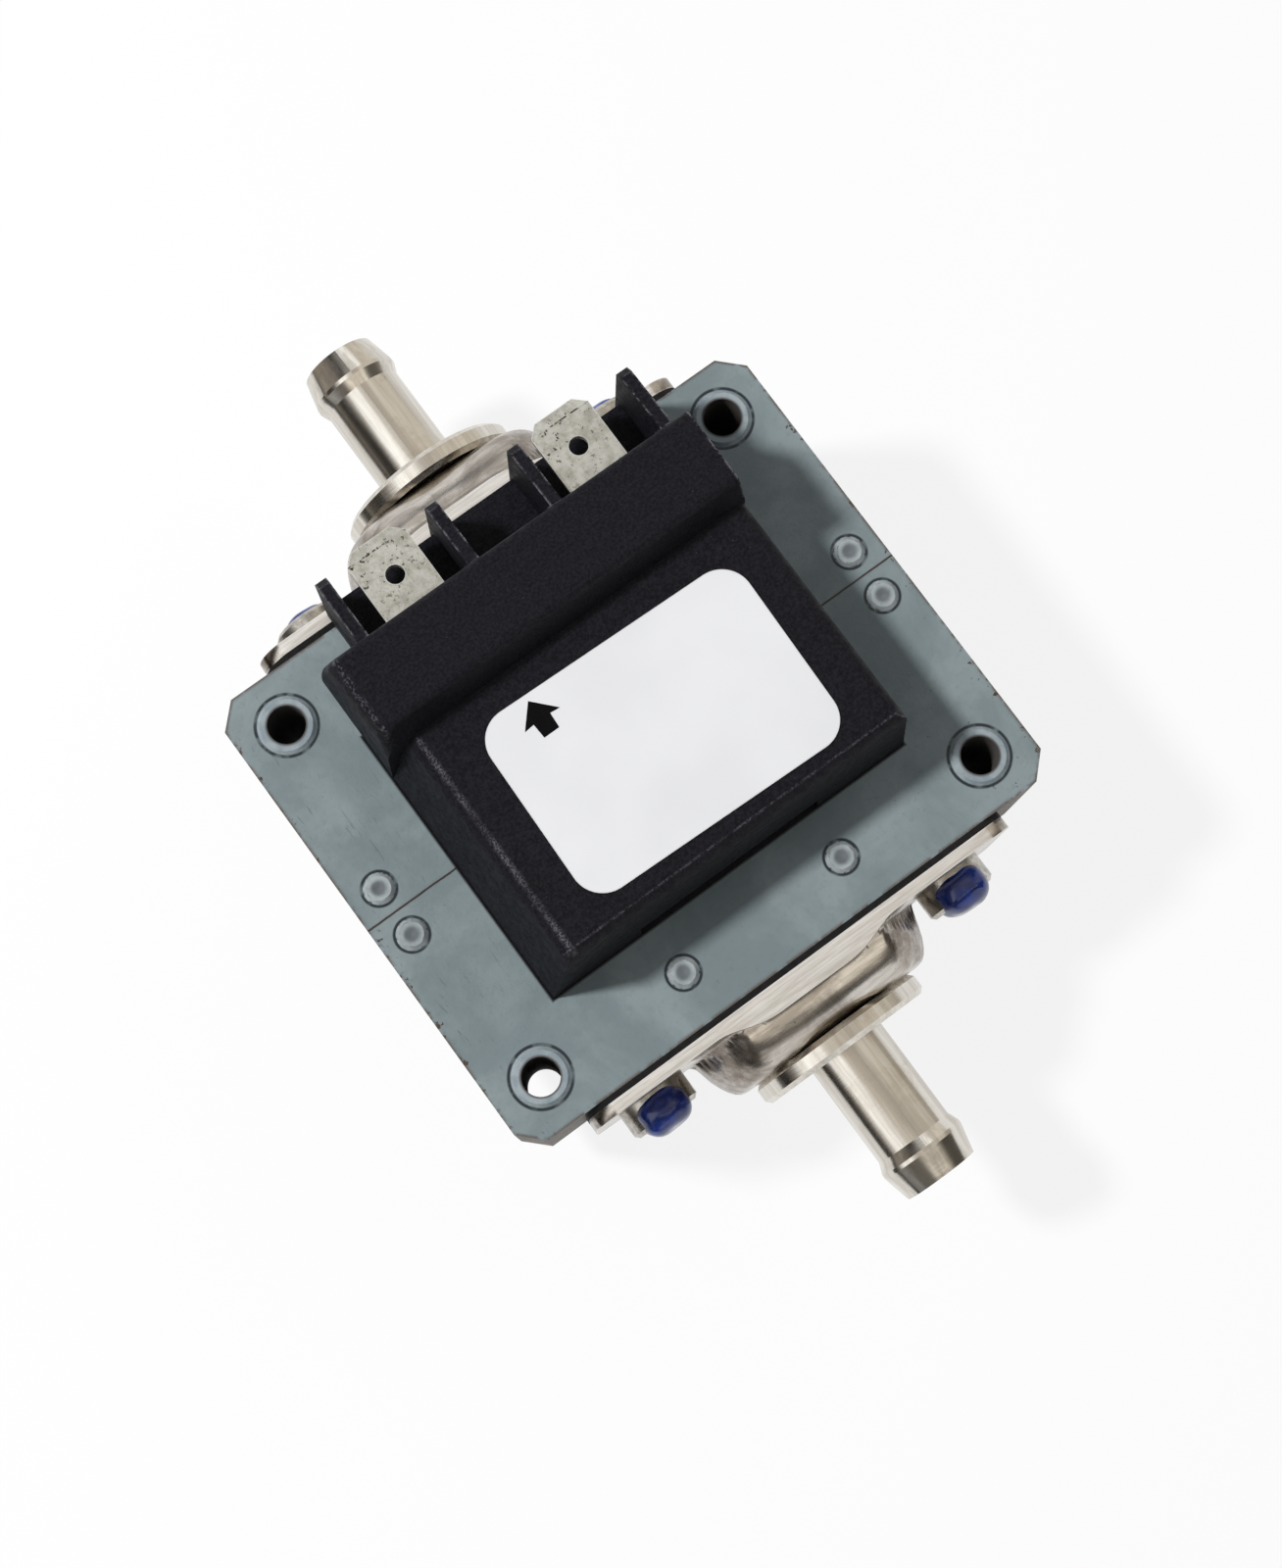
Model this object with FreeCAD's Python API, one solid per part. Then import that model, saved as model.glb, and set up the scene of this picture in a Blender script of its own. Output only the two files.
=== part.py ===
import FreeCAD, Part
import math
import os

V = FreeCAD.Vector

# Millimetres. The origin is the centre of the four corner holes on the underside of the core.
# X runs across the pump, Y along its axis towards the outlet, Z up to the label side.

# Laminated core: two U-shaped halves that meet half way along both legs
core_width = 60.0
core_length = 50.0
stack = 20.0
window_width = 40.0
window_length = 30.0
core_chamfer = 2.2
hole_inset = 5.0

# Tubular eyelets in the corner holes, which are the mounting holes
eyelet_bore_r = 1.8
eyelet_wall = 0.3
eyelet_rim_r = 2.75
eyelet_rim_t = 0.3

# Solid rivets with dimpled heads that hold the laminations together
rivet_r = 1.15
rivet_head_r = 1.5
rivet_head_t = 0.35
rivet_dimple_r = 0.7
rivet_dimple_depth = 0.2
leg_rivet_inset = 3.1
leg_rivet_y = 2.6
yoke_rivet_x = 9.0

# Sliding group and the thin tube that guides it
plunger_r = 5.0
plunger_bore_r = 1.5
plunger_chamfer = 0.4
plunger_clearance = 0.06
tube_wall = 0.35
tube_rim_r = 7.2
ring_gap = 0.05
ring_wall = 1.54
flux_gap = 9.0
flux_overlap = 2.0
pole_reach = 1.0
stroke_forward = 1.0

# Coil inside the moulded housing
bobbin_gap = 0.1
bobbin_wall = 1.0
bobbin_flange_t = 1.2
flange_margin = 0.8
cavity_gap = 0.1
housing_side_wall = 2.6
housing_end_wall = 1.0
housing_roof = 3.65
window_gap = 0.05
lead_r = 0.3
lead_inset = 0.5

# Outside of the moulded housing
flank_slope_left = 2.7
flank_slope_right = 0.3
flank_slope_inlet = 1.0
under_slope = 2.0
housing_edge_r = 1.3
lip_recess_width = 20.0
lip_recess_depth = 0.5
lip_recess_height = 2.5

# Terminal block, its deck and the ribs between the tabs
block_rise = 4.0
block_front_in = 4.8
block_front_slope = 1.1
block_top_length = 7.7
block_back_slope = 2.4
block_left_in = 0.6
block_end_r = 2.6
block_edge_r = 0.8
deck_left = -16.0
deck_right = 18.4
deck_height = 4.5
deck_overhang = 0.7
rib_t = 1.4
rib_draft = 0.12
rib_reach = 0.5
rib_start = 3.85
rib_tip_drop = 2.4
rib_fall = 1.2
rib_tip_chamfer = 0.7
rivet_head_gap = 0.15
inner_rib_left_x = -3.4
inner_rib_right_x = 5.6

# Spade tabs
tab_width = 6.3
tab_t = 0.8
tab_height = 10.0
tab_left_x = -9.45
tab_right_x = 10.75
tab_reach = 1.0
tab_root_inset = 0.7
tab_hole_r = 0.9
tab_hole_back = 4.0
tab_tip_chamfer = 1.1
tab_bevel = 0.22

# Rectifier diode between the tabs
diode_r = 1.2
diode_length = 5.2
diode_lead_turn = 1.8
pocket_gap = 0.15

# Plain label on the housing
label_width = 27.8
label_length = 18.9
label_corner_r = 3.0
label_t = 0.2
label_x = 1.4
label_shift = 0.42
label_turn = -1.5

# Pressed end caps, the same at both ends
gasket_t = 0.6
cap_sheet = 1.2
cap_length = 47.4
cap_corner_r = 3.0
foot_gap = 0.5
foot_rise = 1.3
foot_chamfer = 0.8
foot_ledge = 0.9
dome_flat = 9.6
dome_rise = 5.3
dome_edge_r = 2.6
dome_flat_edge_r = 0.6
spigot_fit = 0.05
gasket_bore_r = 8.2

# Hose barbs, turned in one piece with a collar and an inner spigot
collar_r = 9.2
collar_t = 2.2
collar_chamfer = 0.5
barb_r = 4.0
barb_land = 10.4
barb_ramp = 1.1
bead_r = 4.45
bead_land = 0.4
barb_taper = 2.8
barb_tip_r = 3.8
barb_bore_r = 2.6
spigot_r = 7.0

# Cap screws and the lacquer dabs that seal them
screw_inset = 6.2
screw_r = 1.95
screw_floor = 2.0
screw_hole_play = 0.2
screw_tip_gap = 0.5
head_r = 3.6
head_t = 2.8
head_chamfer = 0.4
dab_r = 2.7
dab_height = 1.1

# Seals on the guide tube
o_ring_d = 1.6
tube_end_gap = 0.2

# Cylinder block at the outlet, with the piston seal in its nose
outlet_spigot = 2.6
seat_plate = 0.9
seat_hole_r = 1.5
piston_r = 2.5
piston_clearance = 0.04
piston_reach = 14.2
piston_seat_depth = 6.0
head_space = 0.4
nose_gap = 0.06
damper_length = 5.0
retainer_t = 0.8
retainer_gap = 0.2
seal_length = 1.8
seal_r = 3.9
seal_clearance = 0.03

# Suction valve: a ball in a cage at the tip of the piston
ball_r = 1.45
ball_seat_r = 1.2
ball_cage_r = 1.8
ball_rest_gap = 0.02
ball_cage_depth = 5.7
cage_ring_t = 0.8
cage_ring_bore_r = 0.9

# Delivery valve: a sprung disc with a short stem on the outer face of the cylinder block
valve_r = 3.9
valve_t = 0.9
valve_stem_r = 1.2
valve_stem_length = 1.2
valve_chamber_r = 4.6
valve_chamber_end = 1.1

# Springs: mean radius, wire radius and turns
return_mean_r = 4.1
return_wire_r = 0.5
return_turns = 8
damper_mean_r = 3.4
damper_wire_r = 0.3
damper_turns = 3
delivery_mean_r = 3.2
delivery_wire_r = 0.2
delivery_turns = 3
suction_mean_r = 1.2
suction_wire_r = 0.12
suction_turns = 4
return_seat_depth = 0.6
spring_runs_per_turn = 12

# Levels that follow from the sizes above
axis_z = stack / 2
face_y = core_length / 2
hole_span_x = core_width - 2 * hole_inset
hole_span_y = core_length - 2 * hole_inset
leg_rivet_x = core_width / 2 - leg_rivet_inset
yoke_rivet_y = (face_y + window_length / 2) / 2
screw_span = cap_length - 2 * screw_inset
screw_hole_end_y = window_length / 2 + screw_floor
screw_tip_y = screw_hole_end_y + screw_tip_gap
foot_r = screw_span / 2 - head_r - foot_gap
dome_r = foot_r - foot_ledge
cap_inner_y = face_y + gasket_t
cap_outer_y = cap_inner_y + cap_sheet
dome_top_y = cap_outer_y + dome_rise
collar_face_y = dome_top_y + collar_t

tube_inner_r = plunger_r + plunger_clearance
tube_outer_r = tube_inner_r + tube_wall
ring_inner_r = tube_outer_r + ring_gap
ring_outer_r = ring_inner_r + ring_wall

shoulder_y = face_y + o_ring_d
block_end_y = dome_top_y - outlet_spigot
bore_end_y = block_end_y - seat_plate
piston_tip_y = bore_end_y - stroke_forward - head_space
plunger_front_y = piston_tip_y - piston_reach
nose_y = plunger_front_y + damper_length
flux_back_y = pole_reach - window_length / 2
flux_front_y = flux_back_y + flux_gap
plunger_back_y = flux_front_y - flux_overlap
return_seat_y = return_seat_depth - dome_top_y

housing_half_x = window_width / 2 - window_gap
housing_half_y = window_length / 2 - window_gap
cavity_r = housing_half_x - housing_side_wall
cavity_half_y = housing_half_y - housing_end_wall
bobbin_flange_r = cavity_r - cavity_gap
bobbin_half_y = cavity_half_y - cavity_gap
bobbin_inner_r = ring_outer_r + bobbin_gap
bobbin_outer_r = bobbin_inner_r + bobbin_wall
winding_r = bobbin_flange_r - flange_margin
winding_half_y = bobbin_half_y - bobbin_flange_t
housing_top_z = axis_z + cavity_r + housing_roof
housing_base_z = axis_z - cavity_r - housing_roof
block_top_z = housing_top_z + block_rise
block_front_y = window_length / 2 - block_front_in
label_y = (block_front_y - housing_half_y + flank_slope_inlet) / 2 - label_shift
deck_end_y = face_y + deck_overhang
rib_tip_y = deck_end_y + rib_reach
tab_tip_y = rib_tip_y + tab_reach
tab_hole_y = tab_tip_y - tab_hole_back
tab_z = stack + tab_height
diode_x = (tab_left_x + tab_right_x) / 2
lead_y = winding_half_y - lead_inset
tab_root_y = lead_y - tab_root_inset


def along_y(radius, y0, y1, x=0.0, z=None):
    """Solid cylinder parallel to the pump axis, from y0 to y1."""
    centre_z = axis_z if z is None else z
    return Part.makeCylinder(radius, y1 - y0, V(x, y0, centre_z), V(0, 1, 0))


def ring_y(outer, inner, y0, y1):
    """Plain ring on the pump axis."""
    return along_y(outer, y0, y1).cut(along_y(inner, y0, y1))


def turned(profile):
    """Solid of revolution on the pump axis from (y, r) points."""
    points = [V(0, y, axis_z + r) for y, r in profile]
    face = Part.Face(Part.makePolygon(points + points[:1]))
    return face.revolve(V(0, 0, axis_z), V(0, 1, 0), 360)


def block(x0, x1, y0, y1, z0, z1):
    """Rectangular solid between two corners."""
    return Part.makeBox(x1 - x0, y1 - y0, z1 - z0, V(x0, y0, z0))


def prism_x(points, x0, x1):
    """Outline in the YZ plane, extruded from x0 to x1."""
    corners = [V(x0, y, z) for y, z in points]
    return Part.Face(Part.makePolygon(corners + corners[:1])).extrude(V(x1 - x0, 0, 0))


def prism_y(points, y0, y1):
    """Outline in the XZ plane, extruded from y0 to y1."""
    corners = [V(x, y0, z) for x, z in points]
    return Part.Face(Part.makePolygon(corners + corners[:1])).extrude(V(0, y1 - y0, 0))


def tapered(low, high, z0, z1):
    """Block whose plan (x0, x1, y0, y1) changes evenly from level z0 to z1."""
    rings = []
    for (x0, x1, y0, y1), z in ((low, z0), (high, z1)):
        rings.append([V(x0, y0, z), V(x1, y0, z), V(x1, y1, z), V(x0, y1, z)])
    bottom, top = rings
    outlines = [bottom[::-1], top]
    for i in range(4):
        j = (i + 1) % 4
        outlines.append([bottom[i], bottom[j], top[j], top[i]])
    shell = Part.Shell([Part.Face(Part.makePolygon(o + o[:1])) for o in outlines])
    shell.sewShape()
    return Part.Solid(shell)


def edges_along(shape, direction, keep):
    """Straight edges parallel to a direction whose middle passes the test."""
    found = []
    for edge in shape.Edges:
        ends = [vertex.Point for vertex in edge.Vertexes]
        if len(ends) == 2 and (ends[1] - ends[0]).cross(direction).Length < 1e-6:
            if keep(edge.CenterOfMass):
                found.append(edge)
    return found


def edges_at_y(shape, y):
    """All edges that lie in one plane across the pump axis."""
    return [e for e in shape.Edges if all(abs(p.y - y) < 1e-6 for p in e.discretize(5))]


def coil_spring(y0, y1, mean_r, wire_r, turns):
    """Compression spring on the pump axis: six-sided wire along a helix of short runs."""
    steps = turns * spring_runs_per_turn
    rise = (y1 - y0 - 2 * wire_r) / steps
    path = []
    for i in range(steps + 1):
        angle = 2 * math.pi * i / spring_runs_per_turn
        path.append(V(mean_r * math.sin(angle), y0 + wire_r + rise * i, axis_z + mean_r * math.cos(angle)))
    start = (path[1] - path[0]).normalize()
    side = V(0, 0, 1)
    up = start.cross(side).normalize()
    corners = [path[0] + side * (wire_r * math.cos(a)) + up * (wire_r * math.sin(a))
               for a in (math.pi / 3 * k for k in range(6))]
    section = Part.makePolygon(corners + corners[:1])
    return Part.makePolygon(path).makePipeShell([section], True, False, 1)


def mirrored(shape):
    """The same piece at the other end of the pump."""
    return shape.mirror(V(0, 0, 0), V(0, 1, 0))


def corner_centres():
    """Plan positions of the four mounting holes."""
    return [(sx * hole_span_x / 2, sy * hole_span_y / 2) for sy in (1, -1) for sx in (-1, 1)]


def rivet_centres():
    """Plan positions of the eight lamination rivets."""
    legs = [(sx * leg_rivet_x, sy * leg_rivet_y) for sy in (1, -1) for sx in (-1, 1)]
    yokes = [(sx * yoke_rivet_x, sy * yoke_rivet_y) for sy in (1, -1) for sx in (-1, 1)]
    return legs + yokes


def upright(radius, x, y, z0, z1):
    """Vertical cylinder."""
    return Part.makeCylinder(radius, z1 - z0, V(x, y, z0))


def core_half():
    """U-shaped lamination packet of the outlet end, with its bore, rivet and screw holes."""
    packet = block(-core_width / 2, core_width / 2, 0, face_y, 0, stack)
    corners = edges_along(packet, V(0, 0, 1), lambda c: c.y > face_y / 2)
    packet = packet.makeChamfer(core_chamfer, corners)
    window = block(-window_width / 2, window_width / 2, -1, window_length / 2, -1, stack + 1)
    holes = [window, along_y(ring_outer_r, 0, face_y + 1)]
    for x, y in corner_centres():
        holes.append(upright(eyelet_bore_r + eyelet_wall, x, y, -1, stack + 1))
    for x, y in rivet_centres():
        holes.append(upright(rivet_r, x, y, -1, stack + 1))
    for side in (-1, 1):
        holes.append(along_y(screw_r, screw_hole_end_y, face_y + 1, side * screw_span / 2))
    return packet.cut(holes)


def low_head(x, y, z, outward, radius, height):
    """Flat head on a face of the core, with its edge sloped by its own height."""
    return Part.makeCone(radius, radius - height, height, V(x, y, z), V(0, 0, outward))


def corner_eyelets():
    """Four tubes through the packet, rolled over into a rim on both faces."""
    eyelets = []
    for x, y in corner_centres():
        body = upright(eyelet_bore_r + eyelet_wall, x, y, 0, stack)
        for z0, outward in ((0, -1), (stack, 1)):
            body = body.fuse(low_head(x, y, z0, outward, eyelet_rim_r, eyelet_rim_t))
        bore = upright(eyelet_bore_r, x, y, -1, stack + 1)
        eyelets.append(body.cut(bore).removeSplitter())
    return Part.makeCompound(eyelets)


def core_rivets():
    """Eight rivets with a low dimpled head on both faces."""
    rivets = []
    for x, y in rivet_centres():
        body = upright(rivet_r, x, y, 0, stack)
        for z0, outward in ((0, -1), (stack, 1)):
            face_z = z0 + outward * rivet_head_t
            head = low_head(x, y, z0, outward, rivet_head_r, rivet_head_t)
            dimple = Part.makeCone(rivet_dimple_r, 0, rivet_dimple_depth, V(x, y, face_z),
                                   V(0, 0, -outward))
            body = body.fuse(head.cut(dimple))
        rivets.append(body.removeSplitter())
    return Part.makeCompound(rivets)


def housing_body():
    """Moulded block in the core's window, sloped on its flanks above and below the core."""
    hx = housing_half_x
    hy = housing_half_y
    middle = block(-hx, hx, -hy, hy, 0, stack)
    top_plan = (-hx + flank_slope_left, hx - flank_slope_right, -hy + flank_slope_inlet, hy)
    low_plan = (-hx + under_slope, hx - under_slope, -hy + flank_slope_inlet, hy - flank_slope_inlet)
    upper = tapered((-hx, hx, -hy, hy), top_plan, stack, housing_top_z)
    lower = tapered(low_plan, (-hx, hx, -hy, hy), housing_base_z, 0)
    rim = [e for e in upper.Edges if all(v.Z > housing_top_z - 1e-6 for v in e.Vertexes)]
    visible = [e for e in rim if e.CenterOfMass.y < hy - 1e-6]
    upper = upper.makeFillet(housing_edge_r, visible)
    base = [e for e in lower.Edges if all(v.Z < housing_base_z + 1e-6 for v in e.Vertexes)]
    lower = lower.makeFillet(housing_edge_r, base)
    recess = block(-lip_recess_width / 2, lip_recess_width / 2, -hy - 1, -hy + lip_recess_depth,
                   stack, stack + lip_recess_height)
    return middle.fuse([upper.cut(recess), lower])


def terminal_block():
    """Raised block over the outlet yoke: sloped front and back, rounded left end."""
    hx = housing_half_x
    front_top_y = block_front_y + block_front_slope
    back_top_y = front_top_y + block_top_length
    side_view = [(block_front_y, stack), (block_front_y, housing_top_z), (front_top_y, block_top_z),
                 (back_top_y, block_top_z), (back_top_y + block_back_slope, stack + deck_height),
                 (back_top_y + block_back_slope, stack)]
    body = prism_x(side_view, -hx, hx)
    end_view = [(-hx, stack), (-hx + block_left_in, block_top_z), (hx - flank_slope_right, block_top_z),
                (hx, stack)]
    body = body.common(prism_y(end_view, 0, face_y * 2))
    top_left = edges_along(body, V(0, 1, 0), lambda c: c.z > block_top_z - 1e-6 and c.x < 0)
    body = body.makeFillet(block_end_r, top_left)
    long_edges = edges_along(body, V(1, 0, 0), lambda c: c.z > block_top_z - 1e-6)
    return body.makeFillet(block_edge_r, long_edges)


def rib_positions():
    """Centres of the four ribs, the outer two flush with the deck's ends."""
    return [deck_left + rib_t / 2, inner_rib_left_x, inner_rib_right_x, deck_right - rib_t / 2]


def terminal_deck():
    """Shelf under the tabs with four drafted ribs that point along the tabs."""
    deck = block(deck_left, deck_right, housing_half_y, deck_end_y, stack, stack + deck_height)
    rib_top = block_top_z - rib_tip_drop
    tip_z = rib_top - rib_tip_chamfer
    start_y = block_front_y + block_front_slope + rib_start
    side_view = [(start_y, stack), (rib_tip_y, stack), (rib_tip_y, tip_z),
                 (rib_tip_y - rib_tip_chamfer, rib_top), (start_y, rib_top + rib_fall)]
    ribs = []
    for x in rib_positions():
        rib = prism_x(side_view, x - rib_t / 2, x + rib_t / 2)
        narrow = rib_t / 2 - rib_draft
        end_view = [(x - rib_t / 2, stack), (x - narrow, block_top_z), (x + narrow, block_top_z),
                    (x + rib_t / 2, stack)]
        ribs.append(rib.common(prism_y(end_view, start_y - 1, rib_tip_y + 1)))
    return deck.fuse(ribs)


def tab_blank(x):
    """Flat spade tab with a corner-cut tip, bevelled on both faces, and a detent hole."""
    half = tab_width / 2
    z0 = tab_z - tab_t / 2
    z1 = tab_z + tab_t / 2
    bevel_y = tab_tip_y - tab_tip_chamfer
    side_view = [(tab_root_y, z0), (bevel_y, z0), (tab_tip_y, z0 + tab_bevel), (tab_tip_y, z1 - tab_bevel),
                 (bevel_y, z1), (tab_root_y, z1)]
    plan = [V(x - half, tab_root_y, z0), V(x + half, tab_root_y, z0), V(x + half, bevel_y, z0),
            V(x + half - tab_tip_chamfer, tab_tip_y, z0), V(x - half + tab_tip_chamfer, tab_tip_y, z0),
            V(x - half, bevel_y, z0)]
    outline = Part.Face(Part.makePolygon(plan + plan[:1])).extrude(V(0, 0, tab_t))
    blade = prism_x(side_view, x - half, x + half).common(outline)
    return blade.cut(upright(tab_hole_r, x, tab_hole_y, z0 - 1, z1 + 1))


def tab_slot(x):
    """Space that a tab fills inside the terminal block."""
    half = tab_width / 2
    return block(x - half, x + half, tab_root_y, tab_tip_y, tab_z - tab_t / 2, tab_z + tab_t / 2)


def diode_ends():
    """Where the diode's leads start, meet the left tab and turn down to the winding."""
    left_end = diode_x - diode_length / 2
    turn_x = left_end + diode_length + diode_lead_turn
    return left_end, tab_left_x + tab_width / 2, turn_x


def winding_top_z(x):
    """Height of the winding's outer surface at a distance from the middle."""
    return axis_z + math.sqrt(winding_r ** 2 - x ** 2)


def rectifier_diode():
    """Axial diode: one lead to the left tab, the other down to the winding."""
    left_end, tab_edge, turn_x = diode_ends()
    body = Part.makeCylinder(diode_r, diode_length, V(left_end, lead_y, tab_z), V(1, 0, 0))
    lead = Part.makeCylinder(lead_r, turn_x - tab_edge, V(tab_edge, lead_y, tab_z), V(1, 0, 0))
    drop = upright(lead_r, turn_x, lead_y, winding_top_z(turn_x + lead_r), tab_z)
    elbow = Part.makeSphere(lead_r, V(turn_x, lead_y, tab_z))
    return body.fuse([lead, drop.cut(winding_envelope()), elbow]).removeSplitter()


def winding_envelope():
    """Full round body of the winding."""
    return along_y(winding_r, -winding_half_y, winding_half_y)


def lead_to_tab():
    """Winding's end wire, straight up to the underside of the right tab."""
    return upright(lead_r, tab_right_x, lead_y, axis_z, tab_z - tab_t / 2)


def rivet_pockets():
    """Room for the rivet heads under the terminal block and deck."""
    radius = rivet_head_r + rivet_head_gap
    top = stack + rivet_head_t + rivet_head_gap
    return [upright(radius, x, y, stack, top) for x, y in rivet_centres() if y > window_length / 2]


def housing_voids():
    """Coil cavity, end holes for the pole rings, and square-cut room for the diode and leads."""
    tab_edge, turn_x = diode_ends()[1:]
    cavity = along_y(cavity_r, -cavity_half_y, cavity_half_y)
    bore = along_y(bobbin_inner_r, -housing_half_y - 1, housing_half_y + 1)
    deep = diode_r + pocket_gap
    thin = lead_r + pocket_gap
    pocket = block(tab_edge, turn_x + thin, lead_y - deep, lead_y + deep, tab_z - deep, tab_z + deep)
    wells = [block(x - thin, x + thin, lead_y - thin, lead_y + thin, axis_z, tab_z)
             for x in (turn_x, tab_right_x)]
    return [cavity, bore, pocket, tab_slot(tab_left_x), tab_slot(tab_right_x)] + wells


def coil_housing():
    """One black moulding: coil block, terminal block and deck."""
    body = housing_body().fuse([terminal_block(), terminal_deck()])
    return body.cut(housing_voids() + rivet_pockets()).removeSplitter()


def coil_bobbin():
    """Spool with two round cheeks."""
    barrel = along_y(bobbin_outer_r, -bobbin_half_y, bobbin_half_y)
    cheeks = [along_y(bobbin_flange_r, s * bobbin_half_y - (bobbin_flange_t if s > 0 else 0),
                      s * bobbin_half_y + (0 if s > 0 else bobbin_flange_t)) for s in (-1, 1)]
    bore = along_y(bobbin_inner_r, -bobbin_half_y - 1, bobbin_half_y + 1)
    return barrel.fuse(cheeks).cut(bore).removeSplitter()


def coil_winding():
    """Wound copper between the cheeks, with its end wire up to the right tab."""
    spool = along_y(bobbin_outer_r, -winding_half_y - 1, winding_half_y + 1)
    return winding_envelope().fuse(lead_to_tab()).cut(spool).removeSplitter()


def label_plate():
    """Thin label with round corners, set a little askew on the housing."""
    hx = label_width / 2
    hy = label_length / 2
    plate = block(-hx, hx, -hy, hy, 0, label_t)
    plate = plate.makeFillet(label_corner_r, edges_along(plate, V(0, 0, 1), lambda c: True))
    plate.rotate(V(0, 0, 0), V(0, 0, 1), label_turn)
    plate.translate(V(label_x, label_y, housing_top_z))
    return plate


def pole_ring(y0, y1):
    """Iron bush that carries the flux from the core to the plunger."""
    return ring_y(ring_outer_r, ring_inner_r, y0, y1)


def guide_tube():
    """Thin stainless tube, rolled out into a rim at the inlet end."""
    end_y = shoulder_y - tube_end_gap
    rim_face_y = -face_y - tube_wall
    profile = [(end_y, tube_inner_r), (end_y, tube_outer_r), (-face_y, tube_outer_r),
               (-face_y, tube_rim_r), (rim_face_y, tube_rim_r), (rim_face_y, tube_inner_r)]
    return turned(profile)


def o_ring(y_centre, centre_r):
    """Rubber ring whose eight-sided section touches its seats with flats."""
    flat = o_ring_d / 2
    corner = flat * math.tan(math.pi / 8)
    section = [(flat, corner), (corner, flat), (-corner, flat), (-flat, corner),
               (-flat, -corner), (-corner, -flat), (corner, -flat), (flat, -corner)]
    return turned([(y_centre + dy, centre_r + dr) for dy, dr in section])


def flange_gasket():
    """Black sheet gasket under an end cap."""
    sheet = block(-cap_length / 2, cap_length / 2, face_y, cap_inner_y, 0, stack)
    sheet = sheet.makeFillet(cap_corner_r, edges_along(sheet, V(0, 1, 0), lambda c: True))
    holes = [along_y(gasket_bore_r, face_y - 1, cap_inner_y + 1)]
    for side in (-1, 1):
        holes.append(along_y(screw_r + screw_hole_play, face_y - 1, cap_inner_y + 1,
                             side * screw_span / 2))
    return sheet.cut(holes)


def dome_form(shrink, edge_r, y1):
    """Round pressing with a rounded rim and two flats, smaller all round by shrink."""
    radius = dome_r - shrink
    flat = dome_flat - shrink
    body = along_y(radius, cap_inner_y, y1)
    body = body.makeFillet(edge_r, edges_at_y(body, y1))
    return body.common(block(-radius, radius, cap_inner_y, y1, axis_z - flat, axis_z + flat))


def end_cap():
    """Pressed cap: flange strip, low round foot trimmed at the strip's edges, and the dome."""
    strip = block(-cap_length / 2, cap_length / 2, cap_inner_y, cap_outer_y, 0, stack)
    strip = strip.makeFillet(cap_corner_r, edges_along(strip, V(0, 1, 0), lambda c: True))
    foot_y = cap_outer_y + foot_rise
    foot = along_y(foot_r, cap_inner_y, foot_y)
    foot = foot.makeChamfer(foot_chamfer, edges_at_y(foot, foot_y))
    foot = foot.common(block(-foot_r, foot_r, cap_inner_y, foot_y, 0, stack))
    dome = dome_form(0, dome_edge_r, dome_top_y)
    flat_tops = edges_along(dome, V(1, 0, 0), lambda c: c.y > dome_top_y - 1e-6)
    if flat_tops:
        dome = dome.makeFillet(dome_flat_edge_r, flat_tops)
    body = strip.fuse([foot, dome])
    holes = [dome_form(cap_sheet, dome_edge_r - cap_sheet, dome_top_y - cap_sheet),
             along_y(spigot_r + spigot_fit, dome_top_y - 2 * cap_sheet, dome_top_y + 1)]
    for side in (-1, 1):
        holes.append(along_y(screw_r + screw_hole_play, cap_inner_y - 1, cap_outer_y + 1,
                             side * screw_span / 2))
    return body.cut(holes).removeSplitter()


def barb_outline():
    """Outer (y, r) points from the collar's back to the tip."""
    c = collar_chamfer
    ramp_y = collar_face_y + barb_land
    bead_y = ramp_y + barb_ramp
    taper_y = bead_y + bead_land
    return [(dome_top_y, collar_r - c), (dome_top_y + c, collar_r), (collar_face_y - c, collar_r),
            (collar_face_y, collar_r - c), (collar_face_y, barb_r), (ramp_y, barb_r),
            (bead_y, bead_r), (taper_y, bead_r), (taper_y + barb_taper, barb_tip_r)]


def hose_barb_outlet():
    """Barb, collar and a spigot that presses on the cylinder block; holds the valve chamber."""
    chamber_end = collar_face_y - valve_chamber_end
    outer = barb_outline()
    inner = [(outer[-1][0], barb_bore_r), (chamber_end, barb_bore_r), (chamber_end, valve_chamber_r),
             (block_end_y, valve_chamber_r), (block_end_y, spigot_r), (dome_top_y, spigot_r)]
    return turned(outer + inner)


def hose_barb_inlet():
    """Barb, collar and a long spigot that presses on the seal and seats the return spring."""
    seal_face = face_y + tube_wall + o_ring_d
    seat = -return_seat_y
    outer = barb_outline()
    inner = [(outer[-1][0], barb_bore_r), (seat, barb_bore_r), (seat, tube_inner_r),
             (seal_face, tube_inner_r), (seal_face, spigot_r), (dome_top_y, spigot_r)]
    return mirrored(turned(outer + inner))


def flange_screw(side):
    """Cheese-head screw through an end cap into the core; thread left plain."""
    x = side * screw_span / 2
    head = along_y(head_r, cap_outer_y, cap_outer_y + head_t, x)
    head = head.makeChamfer(head_chamfer, edges_at_y(head, cap_outer_y + head_t))
    return head.fuse(along_y(screw_r, screw_tip_y, cap_outer_y, x)).removeSplitter()


def lacquer_dab(side):
    """Domed drop of lacquer on a screw head."""
    sphere_r = (dab_r ** 2 + dab_height ** 2) / (2 * dab_height)
    face = cap_outer_y + head_t
    x = side * screw_span / 2
    drop = Part.makeSphere(sphere_r, V(x, face + dab_height - sphere_r, axis_z))
    return drop.common(along_y(dab_r + 1, face, face + dab_height + 1, x))


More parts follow.
